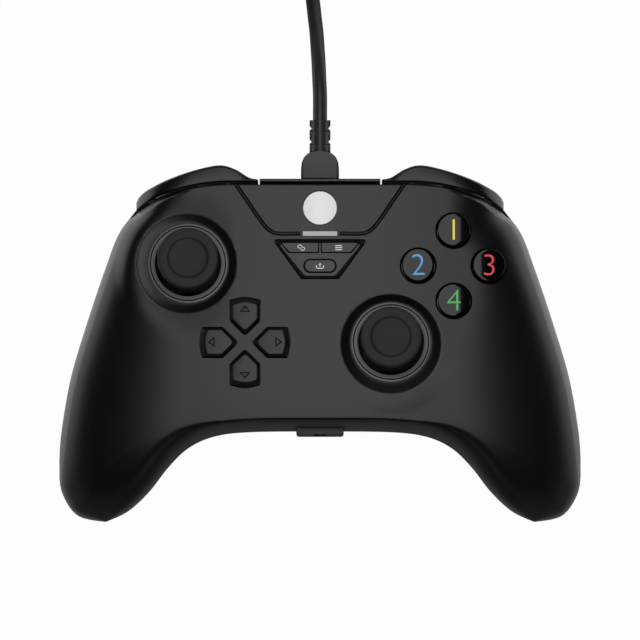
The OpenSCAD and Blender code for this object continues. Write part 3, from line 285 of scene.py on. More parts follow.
def new_piece(name, points, edges=(), faces=()):
    """A mesh object from points in millimetres."""
    mesh = bpy.data.meshes.new(name)
    mesh.from_pydata((np.array(points, float) * MM).tolist(), edges, faces)
    obj = bpy.data.objects.new(name, mesh)
    scene.collection.objects.link(obj)
    only(obj)
    return obj


def tidy_mesh(obj, merge=1e-6):
    """Merges doubles and turns all faces outwards."""
    only(obj)
    bpy.ops.object.mode_set(mode="EDIT")
    bpy.ops.mesh.select_all(action="SELECT")
    bpy.ops.mesh.remove_doubles(threshold=merge)
    bpy.ops.mesh.normals_make_consistent(inside=False)
    bpy.ops.object.mode_set(mode="OBJECT")


def soften(obj, angle=35):
    """Smooth shading across gentle edges, sharp across steep ones."""
    only(obj)
    bpy.ops.object.shade_smooth_by_angle(angle=math.radians(angle))


def apply_modifier(obj, kind, **settings):
    only(obj)
    modifier = obj.modifiers.new(kind.lower(), kind)
    for key, value in settings.items():
        setattr(modifier, key, value)
    bpy.ops.object.modifier_apply(modifier=modifier.name)


def turned(name, profile, centre=(0, 0), steps=96):
    """Spins a profile of (radius, height) points round the upright line through centre."""
    line = [(r, 0, z) for r, z in profile]
    obj = new_piece(name, line, [(i, i + 1) for i in range(len(line) - 1)])
    bpy.ops.object.mode_set(mode="EDIT")
    bpy.ops.mesh.select_all(action="SELECT")
    bpy.ops.mesh.spin(steps=steps, angle=math.tau, center=(0, 0, 0), axis=(0, 0, 1))
    bpy.ops.object.mode_set(mode="OBJECT")
    tidy_mesh(obj)
    obj.data.transform(Matrix.Translation((centre[0] * MM, centre[1] * MM, 0)))
    return obj


def cylinder(name, r, low, high, centre, steps=96):
    return turned(name, [(0, low), (r, low), (r, high), (0, high)], centre, steps)


def arc(cx, cy, r, start, end, steps=8):
    """Points of an arc in a profile, with angles in degrees."""
    return [(cx + r * math.cos(math.radians(a)), cy + r * math.sin(math.radians(a)))
            for a in np.linspace(start, end, steps + 1)]


def lofted(name, rings):
    """Skins a row of closed rings and closes both ends."""
    count, n = len(rings), len(rings[0])
    faces = [(i * n + k, i * n + (k + 1) % n, (i + 1) * n + (k + 1) % n, (i + 1) * n + k)
             for i in range(count - 1) for k in range(n)]
    faces += [tuple(range(n)), tuple((count - 1) * n + k for k in range(n))]
    obj = new_piece(name, np.vstack([np.array(r, float) for r in rings]), faces=faces)
    tidy_mesh(obj)
    return obj


def prism(name, outline, low, high):
    """A closed solid with a flat outline between two heights."""
    return lofted(name, [[(x, y, z) for x, y in outline] for z in (low, high)])


def rounded(corners, steps=6):
    """An outline with rounded corners: each corner is (x, y, radius)."""
    out = []
    n = len(corners)
    for i, (x, y, r) in enumerate(corners):
        c = np.array((x, y))
        u = np.array(corners[i - 1][:2]) - c
        v = np.array(corners[(i + 1) % n][:2]) - c
        u, v = u / np.linalg.norm(u), v / np.linalg.norm(v)
        cut = r / math.tan(math.acos(np.clip(u @ v, -1, 1)) / 2)
        for t in np.arange(steps + 1) / steps:
            out.append((c + cut * u) * (1 - t) ** 2 + c * 2 * t * (1 - t) + (c + cut * v) * t * t)
    return [tuple(p) for p in out]


def cut(obj, *tools, operation="DIFFERENCE"):
    """Takes tools out of a piece, or adds them to it, and throws the tools away."""
    for tool in tools:
        apply_modifier(obj, "BOOLEAN", object=tool, operation=operation, solver="MANIFOLD")
        bpy.data.objects.remove(tool)


def add_on(obj, *tools):
    cut(obj, *tools, operation="UNION")


def join(obj, *others):
    only(obj)
    for other in others:
        other.select_set(True)
    bpy.ops.object.join()


def paint_where(obj, material, test):
    """Gives a second material to the faces that pass a test, and counts them."""
    obj.data.materials.append(material)
    for face in obj.data.polygons:
        face.material_index = int(test(face))
    return sum(face.material_index for face in obj.data.polygons)


def stand_for(obj, slot, body, *nodes):
    """Finish, body and nodes of a piece in one go."""
    dress(obj, slot)
    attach(obj, body)
    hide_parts(*nodes)


def eased(node, width, body="root", segments=2):
    """A copy of a node with its sharp edges bevelled."""
    source = frame["nodes"][node]
    obj = source.copy()
    obj.data = source.data.copy()
    obj.parent = None
    obj.matrix_world = source.matrix_world.copy()
    obj.name = node + "_eased"
    scene.collection.objects.link(obj)
    only(obj)
    bpy.ops.object.mode_set(mode="EDIT")
    bpy.ops.mesh.select_all(action="SELECT")
    bpy.ops.mesh.remove_doubles(threshold=1e-6)
    bpy.ops.mesh.dissolve_limited(angle_limit=math.radians(1))
    bpy.ops.object.mode_set(mode="OBJECT")
    apply_modifier(obj, "BEVEL", width=width * MM, segments=segments, limit_method="ANGLE",
                   angle_limit=math.radians(35), harden_normals=False)
    soften(obj)
    apply_modifier(obj, "WEIGHTED_NORMAL", keep_sharp=True, weight=100)
    slot = next(p["material_slot"] for p in frame["record"]["subparts"] if p["node"] == node)
    stand_for(obj, slot, body, node)
    return obj


# %% [markdown]
# ## The moulded shape
# Both shells follow one rule: a height over the outline, which falls to the parting line within a given
# width of each edge. The outline is four smooth curves through a few points, and the distance to those
# curves sets how far the surface has dropped. The frame's nodes use the same rule with fewer faces.

# %% Outline and heights
HALF_W = 77
REAR_Y = -51.6
SEAM_Z, SEAM_DROP = 27, 6
GRIP_FALL = 12
WALL = 2.2
GRIP_ROLL, SHOULDER_ROLL, REAR_ROLL, FRONT_ROLL, UNDER_ROLL = 34, 19, 1.6, 4.5, 18
EDGE_POWER, UNDER_POWER = 2.4, 2.2
SPLINE_STEPS = 12
front_path = spline([(0, 53.5), (20, 53.5), (34, 52.2), (44, 48.4), (51, 43.6), (55.5, 38.4)], SPLINE_STEPS)
flank_path = spline([(55.5, 38.4), (59.6, 32.5), (63.2, 23), (68, 8.7), (73.3, -9.1), (76.3, -25.6), (HALF_W, -35)],
                    SPLINE_STEPS)
tip_path = spline([(HALF_W, -35), (76.3, -42.9), (71.7, -49.9), (63.2, -52.1)], SPLINE_STEPS)
rear_path = spline([(63.2, -52.1), (56.6, -48.7), (50.4, -42.9), (44.4, -35.3), (38.5, -29.9), (31, -26.8),
                    (20, -25.6), (0, -25.4)], SPLINE_STEPS)
plate_path = spline([(0, 45.1), (26, 45.1), (33, 44.7), (38.5, 43.8), (44, 42.4), (48.4, 41), (53, 38.7), (58, 36)],
                    SPLINE_STEPS)
side_path = np.vstack([flank_path, tip_path])


def along(path, x):
    """The y of a path at distances x from the middle."""
    order = np.argsort(path[:, 0], kind="stable")
    return np.interp(x, path[order, 0], path[order, 1])


def outline_front(x):
    return along(np.vstack([front_path, flank_path]), x)


def outline_rear(x):
    return along(np.vstack([rear_path, tip_path]), x)


def plate_front(x):
    return np.minimum(along(plate_path, x), outline_front(x))


def path_distance(x, y, path):
    """Distance from each point to the nearest stretch of a path."""
    p = np.stack([x, y], -1)[..., None, :]
    a, ab = path[:-1], np.diff(path, axis=0)
    length2 = np.maximum((ab ** 2).sum(-1), 1e-12)
    t = np.clip(((p - a) * ab).sum(-1) / length2, 0, 1)
    return np.linalg.norm(p - a - ab * t[..., None], axis=-1).min(-1)


def edge(d, width, power):
    """0 at the edge, 1 from the given width on, with a round shoulder between."""
    return (1 - np.clip(1 - d / width, 0, 1) ** power) ** (1 / power)


def seam(y):
    return SEAM_Z - SEAM_DROP * smooth((-8 - y) / (-8 - REAR_Y - 8))


def edges(x, y, inset, side_w, rear_w, front_w, power):
    total = 1.0
    for path, width in ((side_path, side_w), (rear_path, rear_w), (front_path, front_w)):
        total = total * edge(np.maximum(0, path_distance(x, y, path) - inset), width, power)
    return total


def rear_roll(x):
    """Rounding of the rear edge, which is tight in the middle and soft along the grips."""
    return REAR_ROLL + 5.5 * smooth((x - 28) / 26)


def top_z(x, y, inset=0):
    """Height of the upper skin."""
    s = seam(y)
    crown = FACE_Z - GRIP_FALL * np.clip((-6 - y) / (-6 - REAR_Y), 0, 1) ** 2
    side_w = SHOULDER_ROLL + (GRIP_ROLL - SHOULDER_ROLL) * smooth((22 - y) / 40)
    return s + (crown - inset - s) * edges(x, y, inset, side_w, rear_roll(x), FRONT_ROLL, EDGE_POWER)


def bottom_z(x, y, inset=0):
    """Height of the lower skin, flat where it stands on the table."""
    s = seam(y)
    belly = 11 * np.clip((8 - y) / 34, 0, 1) ** 2 + 7 * np.clip((y - 24) / 24, 0, 1) ** 2
    grip = 11 * smooth((y + 30) / 36)
    w = smooth((x - 22) / 24)
    floor = belly * (1 - w) + grip * w - 0.9
    drop = edges(x, y, inset, UNDER_ROLL, UNDER_ROLL * 0.8, UNDER_ROLL * 0.7, UNDER_POWER)
    return np.maximum(inset, s - (s - floor - inset) * drop)


print("face at the left stick", round(float(top_z(np.array(38.9), np.array(21.8))), 2))

# %% [markdown]
# ## Shells
# Each shell starts as a primitive grid. The grid's own coordinates are bent to the outline and lifted to
# the height rule, once for the outer skin and once, a wall's thickness inside, for the inner skin. Bridging
# the two open rims closes the shell.

# %% Shell maker
GRID_X, GRID_Y = 260, 110
TIP_TRIM = 0.06
SEAM_GAP = 0.3
FRONT_BEVEL = 0.35
STRIP_SLOPE, STRIP_FROM, STRIP_MAX = 0.9, 38, 2.2
SLOPE_STEP = 0.2
STICKS = {"left": (-38.9, 21.8), "right": (20.9, -1.6)}
BOWL_SHIFT = {"left": (-0.5, -0.1), "right": (0, -0.6)}


def strip_w(x):
    """Width of the polished strip along the shoulders, which grows outward."""
    return np.clip(0.8 + 0.1 * (np.abs(x) - STRIP_FROM - 1), 0, STRIP_MAX)


def rim_z(x, y):
    """Height of the bowl rims, which lean with the left shoulder and with the rear edge."""
    return FACE_Z - 0.04 * np.clip(-26 - x, 0, 30) - 0.045 * np.clip(-6 - y, 0, 30)


def soft_edges(x, y, z):
    """Lifts the skin to the rim of each bowl, and eases the front edge of the face plate."""
    for cx, cy in STICKS.values():
        near = 1 - smooth((np.hypot(x - cx, y - cy) - 15.2) / 7)
        z = z + (rim_z(x, y) - z) * near
    slope = (plate_front(np.abs(x) + SLOPE_STEP) - plate_front(np.abs(x))) / SLOPE_STEP
    d = (plate_front(np.abs(x)) - y) / np.hypot(slope, 1)
    z = z - STRIP_SLOPE * np.clip(strip_w(x) - d, 0, STRIP_MAX) * smooth((np.abs(x) - STRIP_FROM) / 3)
    d = np.clip(d, 0, FRONT_BEVEL)
    return z - FRONT_BEVEL + np.sqrt(FRONT_BEVEL ** 2 - (FRONT_BEVEL - d) ** 2)


def bent_grid(name, front_of, height_of, rim, upper, inner):
    """One skin of a shell, bent from a flat grid."""
    bpy.ops.object.select_all(action="DESELECT")
    bpy.ops.mesh.primitive_grid_add(x_subdivisions=GRID_X, y_subdivisions=GRID_Y, size=2)
    skin = bpy.context.object
    skin.name = name
    flat = np.empty(len(skin.data.vertices) * 3)
    skin.data.vertices.foreach_get("co", flat)
    u, v = flat.reshape(-1, 3)[:, 0], flat.reshape(-1, 3)[:, 1]
    x = (HALF_W - TIP_TRIM) * (1 - (1 - np.clip(np.abs(u), 0, 1)) ** 1.631)
    r, f = outline_rear(x), front_of(x)
    s = (1 - np.cos(np.pi * np.clip((v + 1) / 2, 0, 1))) / 2
    y = r + (f - r) * s
    if inner:
        slope_r = (r - outline_rear(x - SLOPE_STEP)) / SLOPE_STEP
        slope_f = (f - front_of(x - SLOPE_STEP)) / SLOPE_STEP
        inward_r = np.stack([-slope_r, np.ones_like(x)], -1) / np.hypot(slope_r, 1)[:, None]
        inward_f = np.stack([slope_f, -np.ones_like(x)], -1) / np.hypot(slope_f, 1)[:, None]
        d = np.min([path_distance(x, y, p) for p in (side_path, rear_path, front_path)], axis=0)
        shift = np.where((s < 0.5)[:, None], inward_r, inward_f) * (WALL * np.clip(1 - d / 20, 0, 1) ** 2)[:, None]
        on_rim = (v < -0.999) | ((v > 0.999) & (f > outline_front(x) - 0.01))
        x, y = np.maximum(0, x + shift[:, 0]), y + shift[:, 1]
        z = np.where(on_rim, seam(y), height_of(x, y, WALL))
    else:
        z = height_of(x, y, 0)
        if upper:
            z = soft_edges(np.sign(u) * x, y, z)
    z = np.maximum(z, seam(y) + rim) if upper else np.minimum(z, seam(y) - rim)
    skin.data.vertices.foreach_set("co", (np.stack([np.sign(u) * x, y, z], -1) * MM).ravel())
    return skin


def moulded_shell(name, front_of, height_of, upper):
    """Outer and inner skin, bridged along their rims."""
    shell = bent_grid(name, front_of, height_of, SEAM_GAP / 2, upper, inner=False)
    lining = bent_grid(name + "_lining", front_of, height_of, SEAM_GAP / 2, upper, inner=True)
    join(shell, lining)
    bpy.ops.object.mode_set(mode="EDIT")
    bpy.ops.mesh.select_all(action="DESELECT")
    bpy.ops.mesh.select_mode(type="EDGE")
    bpy.ops.mesh.select_non_manifold()
    bpy.ops.mesh.bridge_edge_loops()
    bpy.ops.object.mode_set(mode="OBJECT")
    tidy_mesh(shell)
    return shell


print("grid of", GRID_X, "by", GRID_Y, "faces for each skin")

# %% [markdown]
# ## Upper shell
# The upper shell is the face under the thumbs, with the upper half of both grips. It ends at the front
# edge of the face plate, where the bumpers begin, so its grid is bent between the rear outline and that
# edge.

# %% Upper shell
upper_shell = moulded_shell("upper_shell", plate_front, top_z, upper=True)
print("upper shell", len(upper_shell.data.polygons), "faces")

# %% [markdown]
# ## Lower shell
# The lower shell is the belly that lies in the palms. The same maker bends it, with the lower height rule,
# and it reaches forward to the bridge between the bumpers.

# %% Lower shell
BRIDGE_Y = 46.4


def belly_front(x):
    return np.minimum(BRIDGE_Y, outline_front(x))


lower_shell = moulded_shell("lower_shell", belly_front, bottom_z, upper=False)
print("lower shell", len(lower_shell.data.polygons), "faces")

# %% [markdown]
# ## Places of the controls
# The real moulding comes out of its tool with every opening in it. Here they are cut one after another, so
# this cell first says where the controls sit. A key and its window come from one outline, which is grown by
# the gap between them, and so they always fit.

# %% Places
CLUSTER, CLUSTER_R = (39.4, 20.9), 10.45
BUTTONS = {"top": (CLUSTER[0], CLUSTER[1] + CLUSTER_R), "left": (CLUSTER[0] - CLUSTER_R, CLUSTER[1]),
           "right": (CLUSTER[0] + CLUSTER_R, CLUSTER[1]), "bottom": (CLUSTER[0], CLUSTER[1] - CLUSTER_R)}
DPAD = (-22.1, -1.9)
DPAD_TURNS = {"up": 0, "down": 180, "left": 90, "right": 270}
KEY_GAP = 0.35
HOME = (0, 38.1)
LIGHT_Y = 30.5
RING_R = 11.85
SCREWS = [(60, -38), (-60, -38), (56.5, 8), (-56.5, 8), (0, 8)]
TRIGGER_X, TRIGGER_W = 21, 27
PIVOT_Y, PIVOT_Z = 36.5, 24.5


def face_at(x, y):
    return float(top_z(np.array(abs(x), float), np.array(y, float)))


def low_of(x, y, r):
    """The lowest point of the wall over a flange."""
    a = np.radians(np.arange(0, 360, 45))
    return float(top_z(np.abs(x + r * np.cos(a)), y + r * np.sin(a), WALL).min()) - 0.45


def placed(outline, centre, turn=0):
    """An outline turned by degrees and moved to its place."""
    c, s = math.cos(math.radians(turn)), math.sin(math.radians(turn))
    return [(centre[0] + x * c - y * s, centre[1] + x * s + y * c) for x, y in outline]


def box_tool(name, low, high):
    (x0, y0, z0), (x1, y1, z1) = low, high
    return prism(name, [(x0, y0), (x1, y0), (x1, y1), (x0, y1)], z0, z1)


def key_outline(g, e):
    """A direction key that points away from the player, grown by g, and by e at its outer end."""
    w, tip, end = 4.3 + g, 2.3 - g * math.sqrt(2), 13 + e
    return rounded([(0, tip, 1.1), (w, tip + w, 0.9), (w, end - 0.7, 0.5), (0, end + 0.5, 2.2 * w),
                    (-w, end - 0.7, 0.5), (-w, tip + w, 0.9)])


def panel_outline(g):
    top, low = LIGHT_Y - 2 + g, LIGHT_Y - 13.3 - g
    return rounded([(-13.7 - 1.6 * g, top, 1), (13.7 + 1.6 * g, top, 1), (5.3 + g, low, 1.6), (-5.3 - g, low, 1.6)])


print("face at the right button", round(face_at(*BUTTONS["right"]), 2))

# %% [markdown]
# ## Stick bowls
# Each stick stands in a shallow bowl that leaves room for the thumb. A collar is added under the skin first,
# and then a bowl, a seat for the trim ring and a bore are taken out. The bowl is skinned from rings,
# because its rim leans with the face and its middle lies a little off the stick's axis.

# %% Stick bowls
BOWL_R, BOWL_DEPTH, COLLAR_R, BORE_R = 12, 1.5, 15.3, 10.65
for side, (x, y) in STICKS.items():
    collar = cylinder("collar", COLLAR_R, 41.5, 44.2, (x, y))
    dx, dy = BOWL_SHIFT[side]
    rings = []
    for r, drop, share in ((BOWL_R, BOWL_DEPTH, 0), (12.15, 1.48, 0.05), (13, 1.08, 0.4), (14.2, 0.32, 0.9),
                           (14.45, 0.16, 1), (14.7, 0.06, 1), (15, -0.04, 1), (15.1, -9, 1)):
        a = np.linspace(0, math.tau, 128, endpoint=False)
        px, py = x + share * dx + r * np.cos(a), y + share * dy + r * np.sin(a)
        lean = (rim_z(px, py) - FACE_Z) * min(1, (r - BOWL_R) / 2.4)
        rings.append(np.stack([px, py, np.maximum(FACE_Z - BOWL_DEPTH, FACE_Z - drop + lean)], -1))
    bowl = lofted("bowl", rings)
    seat = cylinder("seat", RING_R + 0.1, 42.8, 50, (x, y))
    bore = cylinder("bore", BORE_R, 20, 50, (x, y))
    add_on(upper_shell, collar)
    cut(upper_shell, bowl, seat, bore)
print("bowls cut,", len(upper_shell.data.polygons), "faces")

# %% [markdown]
# ## Holes and windows
# The buttons need round holes with a countersunk edge, the keys and the panel need windows of their own
# outline, and the light shows through a slot. The groove on each side of the home button is a narrow V that
# follows the height of the face.

# %% Holes and windows
HOLE_R, SUNK_R, HOME_HOLE_R = 4.95, 5.55, 5.2
for x, y in BUTTONS.values():
    z = face_at(x, y)
    hole = [(0, 30), (HOLE_R, 30), (HOLE_R, z - 0.9), (5.45, z - 0.03), (SUNK_R, z + 0.1), (SUNK_R, 60), (0, 60)]
    cut(upper_shell, turned("hole", hole, (x, y)))
cut(upper_shell, cylinder("hole", HOME_HOLE_R, 30, 60, HOME))
for turn in DPAD_TURNS.values():
    cut(upper_shell, prism("window", placed(key_outline(KEY_GAP, KEY_GAP), DPAD, turn), 30, 60))
cut(upper_shell, lofted("window", [[(px, py, z) for px, py in panel_outline(g)]
                                    for g, z in ((0.2, 30), (0.2, 45.8), (0.35, 46.03), (0.35, 60))]))
cut(upper_shell, box_tool("slot", (-5.2, LIGHT_Y - 0.8, 30), (5.2, LIGHT_Y + 0.8, 60)))
groove_section = [(0.66, 0.01), (0.06, -0.34), (-0.06, -0.34), (-0.66, 0.01), (-0.66, 3), (0.66, 3)]
groove_line = spline([(5.7, LIGHT_Y), (12.4, LIGHT_Y), (15.4, LIGHT_Y + 1.4), (18.4, LIGHT_Y + 5.2),
                      (25.8, 46.6)], 10)
along_line = np.gradient(groove_line, axis=0)
across = np.stack([-along_line[:, 1], along_line[:, 0]], -1) / np.linalg.norm(along_line, axis=1)[:, None]
for side in (1, -1):
    rings = [[(side * (p + w * n)[0], (p + w * n)[1], face_at(*p) + h) for w, h in groove_section]
             for p, n in zip(groove_line, across)]
    cut(upper_shell, lofted("groove", rings))
print("openings cut,", len(upper_shell.data.polygons), "faces")

# %% [markdown]
# ## Inside of the upper shell
# Inside the moulding are posts for the screws, the space of the headset plate, and a small shelf behind each
# bumper, which keeps light from shining through the gap. The strip along each shoulder is the same plastic,
# only polished, so its faces get a second finish.

# %% Inside of the upper shell
BOSS_R = 3.6
SHELF_LOW, SHELF_HIGH = 36.5, 37.3
shelf_outline = [(36, 42.9), (38, 42.4), (44, 41), (48.4, 39.6), (50.4, 38.6), (50.4, 41.2), (48.4, 42.2),
                 (44, 43.9), (36, 46.2)]
jack_space = ((-7.2, -31.6, 22.4), (7.2, -22.6, 30.4))
cut(upper_shell, box_tool("jack_space", *jack_space))
for side in (1, -1):
    shelf = prism("shelf", [(side * x, y) for x, y in shelf_outline][::side], SHELF_LOW, SHELF_HIGH)
    inner, outer = sorted((side * 48, side * 50.3))
    add_on(shelf, box_tool("post", (inner, 38.9, 36.7), (outer, 39.9, 39.9)))
    add_on(upper_shell, shelf)
for x, y in SCREWS:
    roof = low_of(x, y, BOSS_R) + 1.5
    add_on(upper_shell, cylinder("boss", BOSS_R, 24, roof, (x, y), 48))
soften(upper_shell, 30)
stand_for(upper_shell, "shell", "root", "top_shell")


def on_strip(face):
    """True for the sloping faces at the shoulder edge of the face plate."""
    x, y, z = face.center / MM
    near = abs(x) > STRIP_FROM and 0 < plate_front(np.array(abs(x))) - y < 1.3 * strip_w(x)
    return near and z > face_at(x, y) - 2 and 0.5 < face.normal.z < 0.9


print("strip", paint_where(upper_shell, POLISHED, on_strip), "faces")
print("upper shell", len(upper_shell.data.polygons), "faces")

# %% [markdown]
# ## Openings of the lower shell
# The belly has two bays for the triggers, the space of the headset plate, and five screw wells. Each well
# sits in a boss, a solid post that was unioned on before the well was bored.

# %% Lower shell openings
for x, y in SCREWS:
    floor = float(bottom_z(np.array(abs(x), float), np.array(y, float), WALL))
    add_on(lower_shell, cylinder("boss", BOSS_R, floor - 1.4, 24, (x, y), 48))
    well = [(0, -5), (2.9, -5), (2.9, floor + 4), (1.5, floor + 4), (1.5, 30), (0, 30)]
    cut(lower_shell, turned("well", well, (x, y), 48))
for side in (1, -1):
    inner, outer = side * (TRIGGER_X - 0.6), side * (TRIGGER_X + TRIGGER_W + 0.6)
    cut(lower_shell, box_tool("bay", (min(inner, outer), PIVOT_Y - 2, -1), (max(inner, outer), 90, 45)))
cut(lower_shell, box_tool("jack_space", *jack_space))
soften(lower_shell, 30)
stand_for(lower_shell, "shell", "root", "bottom_shell")
print("lower shell", len(lower_shell.data.polygons), "faces")

# %% [markdown]
# ## Bumpers
# A bumper is one long lever along the front edge. Its cross-section changes all the way: a flat top that
# falls to a round nose and a thin front wall. Skinning sixty sections gives it a smooth run, and both ends
# are drawn in a little so that they are round like a moulding.

# %% Bumpers
LEVER_T = 2
BUMPER_IN, BUMPER_OUT = 18.2, 54.2
BUMPER_PIVOT = (20.6, 44.2)
LUG_LOW, LUG_HIGH = 36.2, 39.2
PIN_R = 1.25
bumper_path = spline([(17.8, 46.9), (20.5, 47.1), (25, 49.8), (29.5, 51), (36, 49.8), (44, 47.2), (50, 44.7),
                      (52.3, 43.6), (54.2, 42.1)], SPLINE_STEPS)


def bumper_front(x):
    return float(along(bumper_path, x))


def bumper_section(x, drawn_in):
    t = np.clip((x - BUMPER_PIVOT[0]) / (BUMPER_OUT - BUMPER_PIVOT[0]), 0, 1)
    gap, lip = 1.05 + 0.05 * t, 0.25
    plate = float(plate_front(np.array(x)))
    r, f = plate + gap, bumper_front(x) - drawn_in
    zr = face_at(x, plate) - 0.25 - drawn_in
    zf = zr - 0.03 * (f - r) - 0.1
    e = min(0.9, 0.6 * (f - r))
    zb = 34 - 5 * smooth((x - TRIGGER_X - TRIGGER_W - 0.8) / 2) + drawn_in * (7 if x < 20 else 1)
    i = max(f - LEVER_T, r + 0.35)
    nose = [(f - e + e * math.sin(a), zf - 1.6 * e * (1 - math.cos(a))) for a in np.linspace(0, math.pi / 2, 8)]
    points = [(r, zr - 0.5), (r + 0.12, zr - 0.15), (r + 0.45, zr)]
    points += [(r + (f - e - r) * t, zr + (zf - zr) * t + 0.12 * math.sin(math.pi * t)) for t in (0.4, 0.7)]
    points += nose + [(f - 0.3, zb), (min(i, f - 0.5), zb), (i, zf - LEVER_T - 1.1), (i - 0.2, zf - LEVER_T - 0.8),
                      (r - lip, zr - LEVER_T - 1.1), (r - lip, zr - LEVER_T - 0.4), (r, zr - LEVER_T - 0.3)]
    return [(x, y, z) for y, z in points]


for side, sign in (("right", 1), ("left", -1)):
    sections = []
    for x in np.linspace(BUMPER_IN, BUMPER_OUT, 60):
        to_end = min(x - BUMPER_IN, BUMPER_OUT - x)
        drawn = 0.5 * (1 - math.sqrt(1 - (1 - min(to_end, 0.8) / 0.8) ** 2))
        sections.append([(sign * px, y, z) for px, y, z in bumper_section(x, drawn)])
    bumper = lofted(side + "_bumper_lever", sections)
    pivot = (sign * BUMPER_PIVOT[0], BUMPER_PIVOT[1])
    lug = cylinder("lug", 2.2, LUG_LOW, LUG_HIGH, pivot, 48)
    low_x, high_x = sorted((sign * 19.4, sign * 26.4))
    arm = box_tool("arm", (low_x, 45.8, LUG_LOW), (high_x, 46.85, LUG_HIGH))
    low_x, high_x = sorted((sign * 22.6, sign * 26.4))
    root = box_tool("root", (low_x, 45.8, LUG_LOW), (high_x, bumper_front(22.6) - 0.5, LUG_HIGH))
    add_on(bumper, lug, arm, root)
    cut(bumper, cylinder("pivot", PIN_R, 35, 41, pivot, 48))
    soften(bumper, 30)
    stand_for(bumper, "lever", side + "_bumper", side + "_bumper")
print("bumpers", len(bumper.data.polygons), "faces each")

# %% [markdown]
# ## Triggers
# A trigger is a hooked blade with two side walls, and it swings on a hub. The hook's outline is drawn
# smooth through its corner points, then skinned along the front line of the bumper so that both share one
# curve. The hub is bored for its pin.

# %% Triggers
HUB_R = 3.3
BLADE_T = 4.6
hook = [(-10.6, 33), (-5, 33), (-2.4, 32.2), (-1, 30), (-0.4, 26.5), (-1.2, 21.5), (-2, 17), (-1.8, 13.4),
        (-0.4, 10.4), (-0.5, 9), (-1.8, 8.6), (-3.6, 10.6), (-4.6, 14), (-4.6, 17.4), (-3.8, 22), (-3.2, 26.4),
        (-3.4, 28.8), (-4.6, 30.4), (-10.6, 30.6)]
hook_line = spline(hook, 4)


def slab(name, x0, x1, outline):
    """A flat plate of (y, z) corners between two x."""
    return lofted(name, [[(x, y, z) for y, z in outline] for x in (x0, x1)])


def round_pin(r):
    """A circle of (y, z) corners round the trigger's pin."""
    turn = np.linspace(0, math.tau, 48, endpoint=False)
    return [(PIVOT_Y + r * math.cos(a), PIVOT_Z + r * math.sin(a)) for a in turn]


for side, sign in (("right", 1), ("left", -1)):
    sections = []
    for x in np.linspace(TRIGGER_X, TRIGGER_X + TRIGGER_W, 40):
        shift = bumper_front(x) - 1.2
        room = min(1, (shift - BLADE_T - PIVOT_Y - 0.6) / 6)
        sections.append([(sign * x, shift + (y if y > -BLADE_T else -BLADE_T + (y + BLADE_T) * room), z)
                         for y, z in hook_line])
    trigger = lofted(side + "_trigger_blade", sections)
    for x in (TRIGGER_X + 0.2, TRIGGER_X + TRIGGER_W - LEVER_T - 0.2):
        s = min(bumper_front(x), bumper_front(x + LEVER_T)) - 1.3
        add_on(trigger, slab("wall", sign * x, sign * (x + LEVER_T), [
            (PIVOT_Y + 2, 32.8), (s - 5, 32.8), (s - 1.2, 30), (s - 0.6, 26.5), (s - 1.4, 21.5), (s - 2.2, 17),
            (s - 2, 13.4), (s - 3, 11), (PIVOT_Y + 4.6, 14), (PIVOT_Y + 2, 20)]))
    for x in (TRIGGER_X + 7.2, TRIGGER_X + TRIGGER_W - 8.6):
        s = bumper_front(x)
        add_on(trigger, slab("arm", sign * x, sign * (x + 2.4), [
            (PIVOT_Y - 2, PIVOT_Z + 2.4), (PIVOT_Y + 3.4, 31.6), (s - 5.4, 31.6), (s - 3.4, 26.4), (s - 4, 22),
            (PIVOT_Y, PIVOT_Z - 2.6)]))
    hub = slab("hub", sign * (TRIGGER_X + 7), sign * (TRIGGER_X + TRIGGER_W - 6), round_pin(HUB_R))
    add_on(trigger, hub)
    cut(trigger, slab("pin", sign * (TRIGGER_X + 5), sign * (TRIGGER_X + TRIGGER_W - 4), round_pin(PIN_R)))
    soften(trigger, 32)
    stand_for(trigger, "lever", side + "_trigger", side + "_trigger")
print("triggers", len(trigger.data.polygons), "faces each")

# %% [markdown]
# ## Face buttons
# The buttons are turned, with a low dome and a round shoulder, and polished so that they mirror the light
# over the pad. The home button is spun from the same profile, wider and lower, in a pale plastic.

# %% Face buttons
BUTTON_R, BUTTON_RISE, DOME, SHOULDER = 4.75, 2.4, 0.03, 0.25
HOME_R, HOME_RISE, HOME_DOME = 4.95, 0.5, 0.4


def button_profile(r, top, dome, low):
    crown = [((r - SHOULDER) * t, top - dome * t * t) for t in np.linspace(0, 1, 10)]
    shoulder = arc(r - SHOULDER, top - dome - SHOULDER, SHOULDER, 78, 0)
    return crown + shoulder + [(r, low), (r + 1.1, low), (r + 1.1, low - 1), (0, low - 1)]


for side, (x, y) in BUTTONS.items():
    top = face_at(x, y) + BUTTON_RISE
    button = turned("button_" + side, button_profile(BUTTON_R, top, DOME, low_of(x, y, 5.8)), (x, y))
    soften(button, 40)
    stand_for(button, "button", "face_button_" + side, "face_button_" + side)
home_profile = button_profile(HOME_R, face_at(*HOME) + HOME_RISE, HOME_DOME, low_of(*HOME, 5.75))
home = turned("home_disc", home_profile, HOME)
soften(home, 40)
stand_for(home, "home", "home_button", "home_button")
print("buttons", len(button.data.polygons), "faces each")

# %% [markdown]
# ## Marks on the buttons
# The marks are plain numerals in four colours. A numeral starts as text, becomes a mesh, is cut into small
# triangles and is then laid on the dome, a hair above it, so that it bends with the button.

